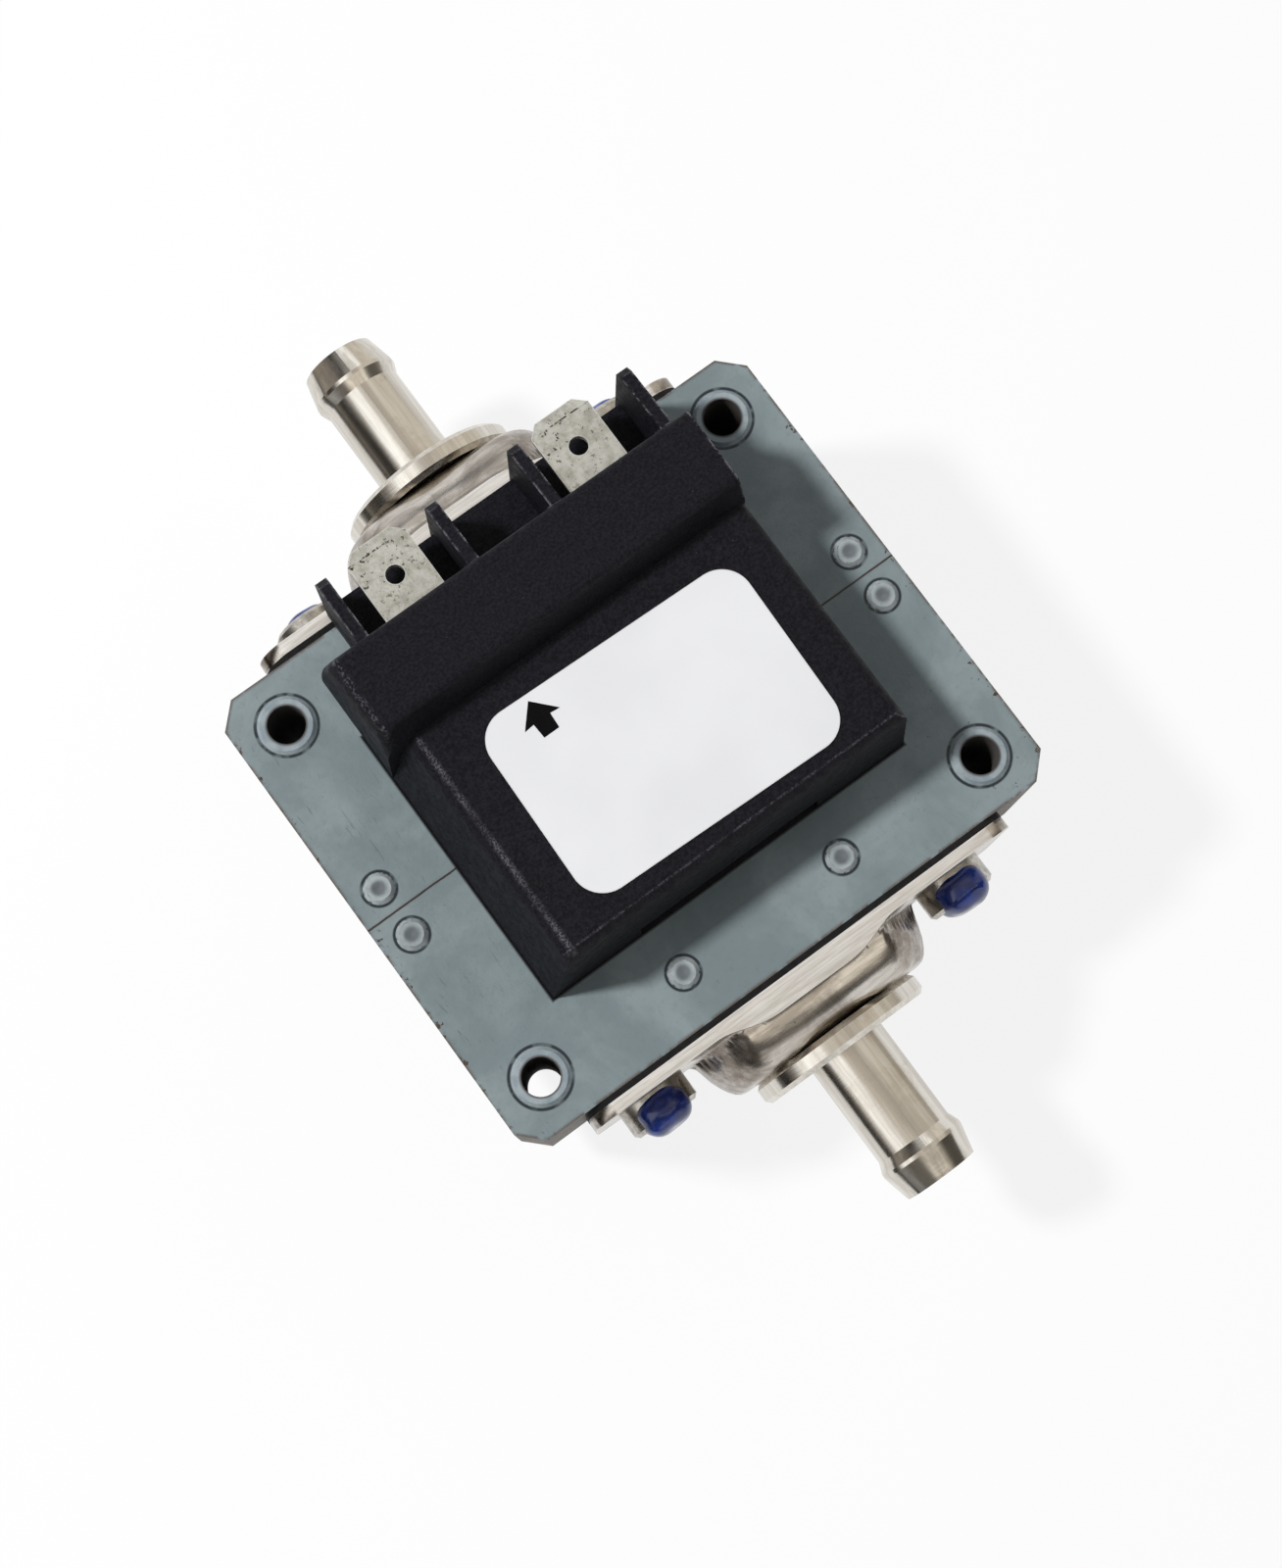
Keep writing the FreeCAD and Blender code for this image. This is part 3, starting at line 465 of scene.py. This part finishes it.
def blue_lacquer(name):
    """Glossy dark blue sealing lacquer, thinner and darker in places."""
    t = Tree(name)
    colour = t.mix(t.ease(t.noise(0.7, 3.0), 0.35, 0.65), rgb(2, 33, 112), rgb(6, 52, 150))
    colour = t.mix(t.ease(t.noise(1.6, 3.0), 0.6, 0.75, 0.0, 0.6), colour, rgb(4, 12, 48))
    t.bump(t.noise(0.9, 2.0), 0.05)
    t.shader.inputs["Coat Weight"].default_value = 0.4
    t.shader.inputs["Coat Roughness"].default_value = 0.12
    return t.finish(colour, t.spread(t.noise(1.0), 0.2, 0.34))


def wound_wire(name):
    """Enamelled copper: fine turns side by side round the axis."""
    t = Tree(name)
    y = t.parts(t.point)[1]
    turns = t.calc("SINE", t.product(y, 2 * math.pi / WIRE_PITCH))
    colour = t.mix(t.ease(turns, -0.9, 0.4), rgb(84, 40, 22), rgb(182, 98, 52))
    colour = t.mix(t.ease(t.noise(0.3, 3.0), 0.45, 0.7, 0.0, 0.4), colour, rgb(120, 60, 36))
    t.bump(turns, 0.05)
    return t.finish(colour, t.spread(t.noise(1.0), 0.26, 0.4), 0.85)


# Painted shade of the groove round each rivet and eyelet: dark lines in the varnish, by their radius
RIVET_RING_R = 1.62
EYELET_RING_R = 2.93
core_rings = [(place, RIVET_RING_R) for place in RIVET_PLACES] + [(EYELET_PLACE, EYELET_RING_R)]
TURNED_MARKS = (0.3, 3.5, 0.3)

finishes = {
    "core_coating": core_coating("core_coating_finish", core_rings),
    "eyelet_coating": eyelet_coating("eyelet_coating_finish"),
    "rivet_coating": head_coating("rivet_coating_finish", RIVET_PLACES, 1.0, (148, 156, 158)),
    "housing_plastic": housing_plastic("housing_plastic_finish"),
    "bobbin_plastic": plain_plastic("bobbin_plastic_finish", (226, 220, 204), 0.5),
    "winding_copper": wound_wire("winding_copper_finish"),
    "diode_body": plain_plastic("diode_body_finish", (34, 33, 36), 0.4),
    "tab_tin": tab_tin("tab_tin_finish"),
    "label_film": label_film("label_film_finish"),
    "gasket_sheet": plain_plastic("gasket_sheet_finish", (24, 23, 24), 0.75),
    "cap_stainless": pressed_steel("cap_stainless_finish"),
    "barb_stainless": polished_steel("barb_stainless_finish"),
    "screw_steel": steel("screw_steel_finish", (196, 192, 184), 0.28, 0.45),
    "seal_lacquer": blue_lacquer("seal_lacquer_finish"),
    "tube_stainless": steel("tube_stainless_finish", (196, 194, 190), 0.25, 0.1, TURNED_MARKS),
    "ring_iron": steel("ring_iron_finish", (140, 138, 136), 0.42, 0.2, TURNED_MARKS),
    "spacer_brass": steel("spacer_brass_finish", (202, 166, 92), 0.32, 0.2, TURNED_MARKS),
    "o_ring_rubber": plain_plastic("o_ring_rubber_finish", (30, 30, 32), 0.55),
    "block_brass": steel("block_brass_finish", (206, 172, 98), 0.3, 0.2, TURNED_MARKS),
    "plunger_steel": steel("plunger_steel_finish", (172, 170, 168), 0.26, 0.15, TURNED_MARKS),
    "ball_steel": steel("ball_steel_finish", (212, 212, 212), 0.12, 0.05),
    "valve_rubber": plain_plastic("valve_rubber_finish", (44, 42, 40), 0.6),
    "spring_steel": steel("spring_steel_finish", (186, 184, 180), 0.3, 0.15),
}

for node in nodes.values():
    for place in node.material_slots:
        place.material = finishes[place.material.name.split(".")[0]]


def placed(name, data):
    """A new object in the scene."""
    thing = bpy.data.objects.new(name, data)
    bpy.context.scene.collection.objects.link(thing)
    return thing


def add_piece(name, mesh, slot, finish=None):
    """A fixed piece of the pump, with its slot's finish unless another is given."""
    piece = placed(name, mesh)
    mesh.materials.append(finish or finishes[slot])
    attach(piece, "pump_body")
    return piece


# Points nearer than this become one, in millimetres, and edges that turn by more than this stay sharp
WELD = 0.001
SHARP_DEG = 50


def mesh_from(name, points, faces):
    """Mesh from points in millimetres, without loose or doubled ones, with its faces turned outwards."""
    mesh = bpy.data.meshes.new(name)
    mesh.from_pydata([Vector(p) * MM for p in points], [], faces)
    mesh.validate()
    build = bmesh.new()
    build.from_mesh(mesh)
    bmesh.ops.delete(build, geom=[v for v in build.verts if not v.link_faces], context="VERTS")
    bmesh.ops.remove_doubles(build, verts=build.verts, dist=WELD * MM)
    bmesh.ops.recalc_face_normals(build, faces=build.faces)
    build.to_mesh(mesh)
    build.free()
    return mesh


def smooth(mesh):
    """Smooth shading, but for the sharp edges."""
    mesh.polygons.foreach_set("use_smooth", [True] * len(mesh.polygons))
    mesh.set_sharp_from_angle(angle=math.radians(SHARP_DEG))


def smoothstep(t):
    t = min(max(t, 0.0), 1.0)
    return t * t * (3 - 2 * t)


# Pressed end cap: a strip whose dome runs out into it in one soft curve
CAP_SHEET = 1.2
CAP_CORNER = 3.0
CAP_HOLES = [(0.0, 7.05), (-SCREW_X, 2.15), (SCREW_X, 2.15)]
CAP_DEBURR = 0.1
DEBURRED_DEG = 60
FOOT_RISE = 1.3
FOOT_IN = 10.6
FOOT_OUT = 14.2
DOME_RADIUS = 12.7
DOME_RUN = 3.0
DOME_FLAT = 9.8
DOME_FLAT_RUN = 2.8
DOME_CROWN = 2.4
DOME_FLANK = 1.5
CAVITY_RUN = 2.0
CAP_COLUMNS = 150
CAP_ROWS = 72
COLUMN_CROWDING = math.pi / 2 * 0.96


def cap_height(x, across):
    """Height of the cap's outer face over its inner plane."""
    away = math.hypot(x, across)
    foot = FOOT_RISE * (1 - smoothstep((away - FOOT_IN) / (FOOT_OUT - FOOT_IN)))
    round_in = (DOME_RADIUS - away) / DOME_RUN
    flat_in = (DOME_FLAT - abs(across)) / DOME_FLAT_RUN
    if min(round_in, flat_in) <= 0:
        return CAP_SHEET + foot
    inward = min((round_in ** -2 + flat_in ** -2) ** -0.5, 1.0)
    rise = CAP_TOP - CAP_INNER - CAP_SHEET - FOOT_RISE
    return CAP_SHEET + foot + rise * (1 - (1 - inward) ** DOME_CROWN) ** (1 / DOME_FLANK)


def cap_depth(x, across):
    """Height of the hollow behind the dome, which runs out before the sheared edges."""
    closing = smoothstep((CAP_HALF_WIDTH - abs(across)) / CAVITY_RUN)
    return (cap_height(x, across) - CAP_SHEET) * closing


def cap_half_width(x):
    """Half the strip's width, which its rounded corners narrow."""
    past = abs(x) - (CAP_HALF - CAP_CORNER)
    if past <= 0:
        return CAP_HALF_WIDTH
    return CAP_HALF_WIDTH - CAP_CORNER + math.sqrt(max(CAP_CORNER ** 2 - past ** 2, 0.0))


def cap_column(i):
    """Columns crowd together at the strip's rounded ends."""
    share = 2 * i / CAP_COLUMNS - 1
    return CAP_HALF * math.sin(share * COLUMN_CROWDING) / math.sin(COLUMN_CROWDING)


def cap_row(j):
    """Rows crowd together at the sheared edges, where the dome's flats stand up."""
    share = 2 * j / CAP_ROWS - 1
    return math.sin(share * math.pi / 2)


def end_cap(name, side):
    """Two skins of quads over the strip's plan, joined round its rim and its holes."""
    plan = [(cap_column(i), cap_half_width(cap_column(i)) * cap_row(j))
            for i in range(CAP_COLUMNS + 1) for j in range(CAP_ROWS + 1)]

    def in_hole(p):
        return any(math.hypot(p[0] - x0, p[1]) < r for x0, r in CAP_HOLES)

    row = CAP_ROWS + 1
    outer = []
    for i in range(CAP_COLUMNS):
        for j in range(CAP_ROWS):
            corners = [i * row + j, (i + 1) * row + j, (i + 1) * row + j + 1, i * row + j + 1]
            if not all(in_hole(plan[c]) for c in corners):
                outer.append(corners)
    edges = {(f[k], f[(k + 1) % 4]) for f in outer for k in range(4)}
    rim = [(a, b) for a, b in edges if (b, a) not in edges]

    count = len(plan)
    faces = outer + [[count + c for c in reversed(f)] for f in outer]
    faces += [[b, a, count + a, count + b] for a, b in rim]
    levels = ([], [])
    for x, across in plan:
        for x0, r in CAP_HOLES:
            away = math.hypot(x - x0, across)
            if 0 < away < r:
                x, across = x0 + (x - x0) * r / away, across * r / away
        for level, height in zip(levels, (cap_height(x, across), cap_depth(x, across))):
            level.append((x, side * (CAP_INNER + height), AXIS_Z + across))
    piece = add_piece(name, mesh_from(name, levels[0] + levels[1], faces), "cap_stainless")
    deburred = piece.modifiers.new("deburred", "BEVEL")
    deburred.width = CAP_DEBURR * MM
    deburred.segments = 2
    deburred.limit_method = "ANGLE"
    deburred.angle_limit = math.radians(DEBURRED_DEG)
    graph = bpy.context.evaluated_depsgraph_get()
    mesh = bpy.data.meshes.new_from_object(piece.evaluated_get(graph))
    piece.modifiers.clear()
    piece.data = mesh
    smooth(mesh)
    return piece


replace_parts(end_cap("pressed_cap_outlet", 1), "end_cap_outlet")
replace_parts(end_cap("pressed_cap_inlet", -1), "end_cap_inlet")


# Sealing lacquer: uneven drops that lap over the screw heads' upper side
INLET_DROP = {"back": 0.85, "up": 1.2, "radii": (2.65, 2.1, 3.05)}
OUTLET_DROP = {"back": 0.25, "up": 0.5, "radii": (2.1, 0.95, 2.3)}
DROP_SQUARENESS = 2.6
DROP_UNEVENNESS = 0.07
DROP_LUMPS = 1.7
DROP_SHIFTS = (7.3, 3.1)


def lacquer_drops(name, side, drop):
    """A squarish ball on each screw head of one side, each with lumps of its own."""
    build = bmesh.new()
    wide, deep, high = drop["radii"]
    for n, x in enumerate((-SCREW_X, SCREW_X)):
        made = bmesh.ops.create_icosphere(build, subdivisions=5, radius=1.0)
        for vert in made["verts"]:
            d = vert.co.normalized()
            square = sum(abs(c) ** DROP_SQUARENESS for c in d) ** (-1 / DROP_SQUARENESS)
            own = Vector((DROP_SHIFTS[0] * n, DROP_SHIFTS[1] * side, 0.0))
            lump = noise.noise(d * DROP_LUMPS + own)
            reach = square * (1 + DROP_UNEVENNESS * lump)
            vert.co = Vector((x + d.x * wide * reach,
                              side * (SCREW_FACE - drop["back"] + d.y * deep * reach),
                              AXIS_Z + drop["up"] + d.z * high * reach)) * MM
    bmesh.ops.recalc_face_normals(build, faces=build.faces)
    mesh = bpy.data.meshes.new(name)
    build.to_mesh(mesh)
    build.free()
    smooth(mesh)
    return add_piece(name, mesh, "seal_lacquer")


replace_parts(lacquer_drops("lacquer_drops_outlet", 1, OUTLET_DROP), "screw_seals_outlet")
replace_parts(lacquer_drops("lacquer_drops_inlet", -1, INLET_DROP), "screw_seals_inlet")


# Springs of round wire with closed end coils. Each lies between the two bodies that it presses apart.
WIRE_SIDES = 12
WIRE_STEPS = 36
CLOSED_TURNS = 0.75
CLOSED_PITCH = 1.05


def wound_spring(node, mean_r, wire_r, turns):
    """Spring in a CAD spring's place."""
    name = "wound_" + node
    low, high = (corner.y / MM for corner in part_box(node))
    tight = CLOSED_PITCH * 2 * wire_r
    open_turns = turns - 2 * CLOSED_TURNS
    pitch = (high - low - 2 * wire_r - 2 * CLOSED_TURNS * tight) / open_turns
    points, faces = [], []
    for step in range(turns * WIRE_STEPS + 1):
        turn = step / WIRE_STEPS
        opened = min(max(turn - CLOSED_TURNS, 0.0), open_turns)
        rise = pitch if 0.0 < opened < open_turns else tight
        angle = 2 * math.pi * turn
        out = Vector((math.sin(angle), 0.0, math.cos(angle)))
        centre = out * mean_r + Vector((0.0, low + wire_r + opened * pitch + (turn - opened) * tight, AXIS_Z))
        along = Vector((math.cos(angle), rise / (2 * math.pi * mean_r), -math.sin(angle))).normalized()
        across = along.cross(out)
        for k in range(WIRE_SIDES):
            around = 2 * math.pi * k / WIRE_SIDES
            points.append(centre + (out * math.cos(around) + across * math.sin(around)) * wire_r)
    for first in range(0, len(points) - WIRE_SIDES, WIRE_SIDES):
        for k in range(WIRE_SIDES):
            after = (k + 1) % WIRE_SIDES
            faces.append((first + k, first + after, first + WIRE_SIDES + after, first + WIRE_SIDES + k))
    faces.append(tuple(range(WIRE_SIDES))[::-1])
    faces.append(tuple(range(len(points) - WIRE_SIDES, len(points))))
    mesh = mesh_from(name, points, faces)
    smooth(mesh)
    mesh.materials.append(finishes["spring_steel"])
    piece = placed(name, mesh)
    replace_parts(piece, node)
    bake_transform(piece)


# The suction spring's low end sits round the ball
wound_spring("return_spring", mean_r=4.1, wire_r=0.5, turns=8)
wound_spring("damper_spring", mean_r=3.4, wire_r=0.3, turns=3)
wound_spring("delivery_spring", mean_r=3.2, wire_r=0.2, turns=3)
wound_spring("suction_spring", mean_r=1.2, wire_r=0.12, turns=4)


# Flow arrow, printed on the label and pointing to the outlet
ARROW_CENTRE = (-6.7, 5.0)
ARROW_OUTLINE = [(0.0, 1.75), (1.95, -0.35), (0.95, -0.25), (0.85, -1.75), (-0.75, -1.75), (-0.85, -0.25),
                 (-1.85, -0.35)]
INK_THICKNESS = 0.03


def flow_arrow():
    base = [(ARROW_CENTRE[0] + x, ARROW_CENTRE[1] + y) for x, y in ARROW_OUTLINE]
    count = len(base)
    points = [(x, y, LABEL_TOP + level) for level in (0.0, INK_THICKNESS) for x, y in base]
    faces = [list(range(count)), [count + i for i in reversed(range(count))]]
    for i in range(count):
        j = (i + 1) % count
        faces.append([i, j, count + j, count + i])
    mesh = mesh_from("flow_arrow", points, faces)
    add_piece("flow_arrow", mesh, "label_film", finish=printed_ink("flow_arrow_ink"))


flow_arrow()


def photo_camera():
    camera = placed("camera", bpy.data.cameras.new("camera"))
    turn = (Matrix.Rotation(CAMERA_ROLL, 3, "Z") @ Matrix.Rotation(-CAMERA_TILT, 3, "X")
            @ Matrix.Rotation(CAMERA_TURN, 3, "Z"))
    back = turn.transposed()
    away = Vector((-CAMERA_SHIFT[0], -CAMERA_SHIFT[1], CAMERA_DISTANCE))
    camera.location = (Vector((0, 0, AXIS_Z)) + back @ away) * MM
    camera.rotation_euler = back.to_euler()
    camera.data.lens = CAMERA_LENS
    camera.data.sensor_width = CAMERA_SENSOR
    camera.data.clip_start = CAMERA_CLIP
    bpy.context.scene.camera = camera


LAMP_DISTANCE = 0.6


def lamp(name, direction, size, power):
    """Round lamp that looks at the pump's axis. Gloss shows the studio screen in its place."""
    data = bpy.data.lights.new(name, "AREA")
    data.shape = "DISK"
    data.size = size
    data.energy = power
    light = placed(name, data)
    toward = Vector(direction).normalized()
    light.location = Vector((0, 0, AXIS_Z * MM)) + toward * LAMP_DISTANCE
    light.rotation_euler = toward.to_track_quat("Z", "Y").to_euler()
    light.visible_glossy = False


def background_rays(tree):
    """1 for rays that show the background: straight from the camera, off gloss or through glass."""
    path = tree.nodes.new("ShaderNodeLightPath")
    total = path.outputs["Is Camera Ray"]
    for name in ("Is Glossy Ray", "Is Transmission Ray"):
        add = tree.nodes.new("ShaderNodeMath")
        add.operation = "MAXIMUM"
        tree.links.new(total, add.inputs[0])
        tree.links.new(path.outputs[name], add.inputs[1])
        total = add.outputs[0]
    return total


# Metres. The floor lies a hair under the pump, and shows this share of the shadow that falls on it.
FLOOR_SIZE = 8.0
FLOOR_DROP = 0.00003
FLOOR_TONE = (247, 247, 247)
SHADOW_SHARE = 0.15


def floor():
    half = FLOOR_SIZE / 2
    mesh = bpy.data.meshes.new("floor")
    corners = [(-half, -half), (half, -half), (half, half), (-half, half)]
    mesh.from_pydata([(x, y, FLOOR_Z - FLOOR_DROP) for x, y in corners], [], [(0, 1, 2, 3)])
    piece = placed("floor", mesh)
    material = bpy.data.materials.new("floor_white")
    material.use_nodes = True
    tree = material.node_tree
    paper = tree.nodes["Principled BSDF"]
    paper.inputs["Base Color"].default_value = rgb(*FLOOR_TONE)
    paper.inputs["Roughness"].default_value = 0.9
    paper.inputs["Specular IOR Level"].default_value = 0.0
    glow = tree.nodes.new("ShaderNodeEmission")
    shown = tree.nodes.new("ShaderNodeMixShader")
    tree.links.new(paper.outputs[0], shown.inputs[1])
    tree.links.new(glow.outputs[0], shown.inputs[2])
    share = tree.nodes.new("ShaderNodeMath")
    share.operation = "MULTIPLY"
    share.inputs[1].default_value = 1 - SHADOW_SHARE
    tree.links.new(background_rays(tree), share.inputs[0])
    tree.links.new(share.outputs[0], shown.inputs[0])
    tree.links.new(shown.outputs[0], tree.nodes["Material Output"].inputs["Surface"])
    mesh.materials.append(material)


AMBIENT = 0.18
AMBIENT_COLOUR = (0.95, 0.98, 1.0, 1.0)


def surroundings():
    """White background, and a soft even ambient light."""
    world = bpy.data.worlds.new("studio")
    bpy.context.scene.world = world
    world.use_nodes = True
    tree = world.node_tree
    ambient = tree.nodes["Background"]
    ambient.inputs["Color"].default_value = AMBIENT_COLOUR
    ambient.inputs["Strength"].default_value = AMBIENT
    white = tree.nodes.new("ShaderNodeBackground")
    white.inputs["Color"].default_value = (1, 1, 1, 1)
    shown = tree.nodes.new("ShaderNodeMixShader")
    tree.links.new(background_rays(tree), shown.inputs[0])
    tree.links.new(ambient.outputs[0], shown.inputs[1])
    tree.links.new(white.outputs[0], shown.inputs[2])
    tree.links.new(shown.outputs[0], tree.nodes["World Output"].inputs["Surface"])


# The screen, and the card that carries it on along the floor, in metres
SCREEN_RADIUS = 1.2
SCREEN_REACH = 1.6
SCREEN_STEP_DEG = 4
SCREEN_END_DEG = 88
CARD_START = 0.09
CARD_LIFT = 0.002

# Tones by angle round the pump's axis: 0 is overhead, 90 level on the -X side. The bands lean along Y.
SCREEN_SLANT_DEG = 65.0
SCREEN_TONES = [(-90, (150, 144, 134)), (-57, (188, 183, 174)), (0, (194, 188, 179)), (22, (184, 178, 169)),
                (36, (255, 255, 255)), (61, (255, 255, 255)), (74, (104, 98, 92)), (84, (32, 29, 27)),
                (105, (32, 29, 27)), (116, (134, 128, 121))]

# Glow, which fades towards both ends along Y, in millimetres. A band is given by its middle, half and fade.
SCREEN_GLOW = 1.5
OUTLET_FADE = (1150.0, 1500.0)
INLET_FADE = (-160.0, -340.0)
SCREEN_END_GLOW = 0.3
OVERHEAD_DIP = (-8.0, 5.0, 14.0)
OVERHEAD_SHADE = 0.25
INLET_STRIP_ALONG = (-540.0, 150.0, 70.0)
INLET_STRIP_ROUND = (-8.0, 22.0, 18.0)
INLET_STRIP_GLOW = 2.1


def studio_screen():
    """Curved screen over the pump that only gloss shows, with a dark card along the floor."""
    points = []
    steps = 2 * SCREEN_END_DEG // SCREEN_STEP_DEG
    for k in range(steps + 1):
        angle = math.radians(SCREEN_STEP_DEG * k - SCREEN_END_DEG)
        for y in (-SCREEN_REACH, SCREEN_REACH):
            points.append((-SCREEN_RADIUS * math.sin(angle), y,
                           AXIS_Z * MM + SCREEN_RADIUS * math.cos(angle)))
    for x in (-SCREEN_RADIUS, -CARD_START):
        points += [(x, y, FLOOR_Z + CARD_LIFT) for y in (-SCREEN_REACH, SCREEN_REACH)]
    mesh = bpy.data.meshes.new("studio_screen")
    mesh.from_pydata(points, [], [(2 * k, 2 * k + 1, 2 * k + 3, 2 * k + 2) for k in range(steps + 2)])
    screen = placed("studio_screen", mesh)
    screen.visible_camera = False
    screen.visible_diffuse = False
    screen.visible_shadow = False
    t = Tree("studio_screen_glow")
    x, y, z = t.parts(t.point)
    turn = t.calc("ARCTAN2", t.product(x, -1.0), t.calc("SUBTRACT", z, AXIS_Z))
    degrees = t.product(turn, 180 / math.pi)
    slanted = t.calc("ADD", degrees, t.product(y, SCREEN_SLANT_DEG * MM))
    first, last = SCREEN_TONES[0][0], SCREEN_TONES[-1][0]
    ramp = t.new("ShaderNodeValToRGB")
    ramp.color_ramp.interpolation = "EASE"
    stops = ramp.color_ramp.elements
    for angle, _ in SCREEN_TONES[1:-1]:
        stops.new((angle - first) / (last - first))
    for stop, (_, tone) in zip(stops, SCREEN_TONES):
        stop.color = rgb(*tone)
    t.feed(ramp.inputs["Fac"], t.calc("DIVIDE", t.calc("SUBTRACT", slanted, first), last - first))
    strength = t.calc("MINIMUM", t.ease(y, *OUTLET_FADE, SCREEN_GLOW, SCREEN_END_GLOW),
                      t.ease(y, *INLET_FADE, SCREEN_GLOW, SCREEN_END_GLOW))
    overhead = t.product(t.band(degrees, *OVERHEAD_DIP), OVERHEAD_SHADE)
    strip = t.product(t.band(y, *INLET_STRIP_ALONG), t.band(degrees, *INLET_STRIP_ROUND), INLET_STRIP_GLOW)
    strength = t.calc("ADD", t.product(strength, t.calc("SUBTRACT", 1.0, overhead)), strip)
    glow = t.new("ShaderNodeEmission")
    t.feed(glow.inputs["Color"], ramp.outputs["Color"])
    t.feed(glow.inputs["Strength"], strength)
    t.feed(t.tree.nodes["Material Output"].inputs["Surface"], glow.outputs[0])
    mesh.materials.append(t.material)


photo_camera()
surroundings()
floor()
studio_screen()
lamp("key", direction=(-0.45, 0.36, 0.82), size=0.07, power=3.3)
lamp("fill", direction=(0.8, -0.05, 0.6), size=0.35, power=0.5)
bpy.context.scene.view_settings.view_transform = "Standard"
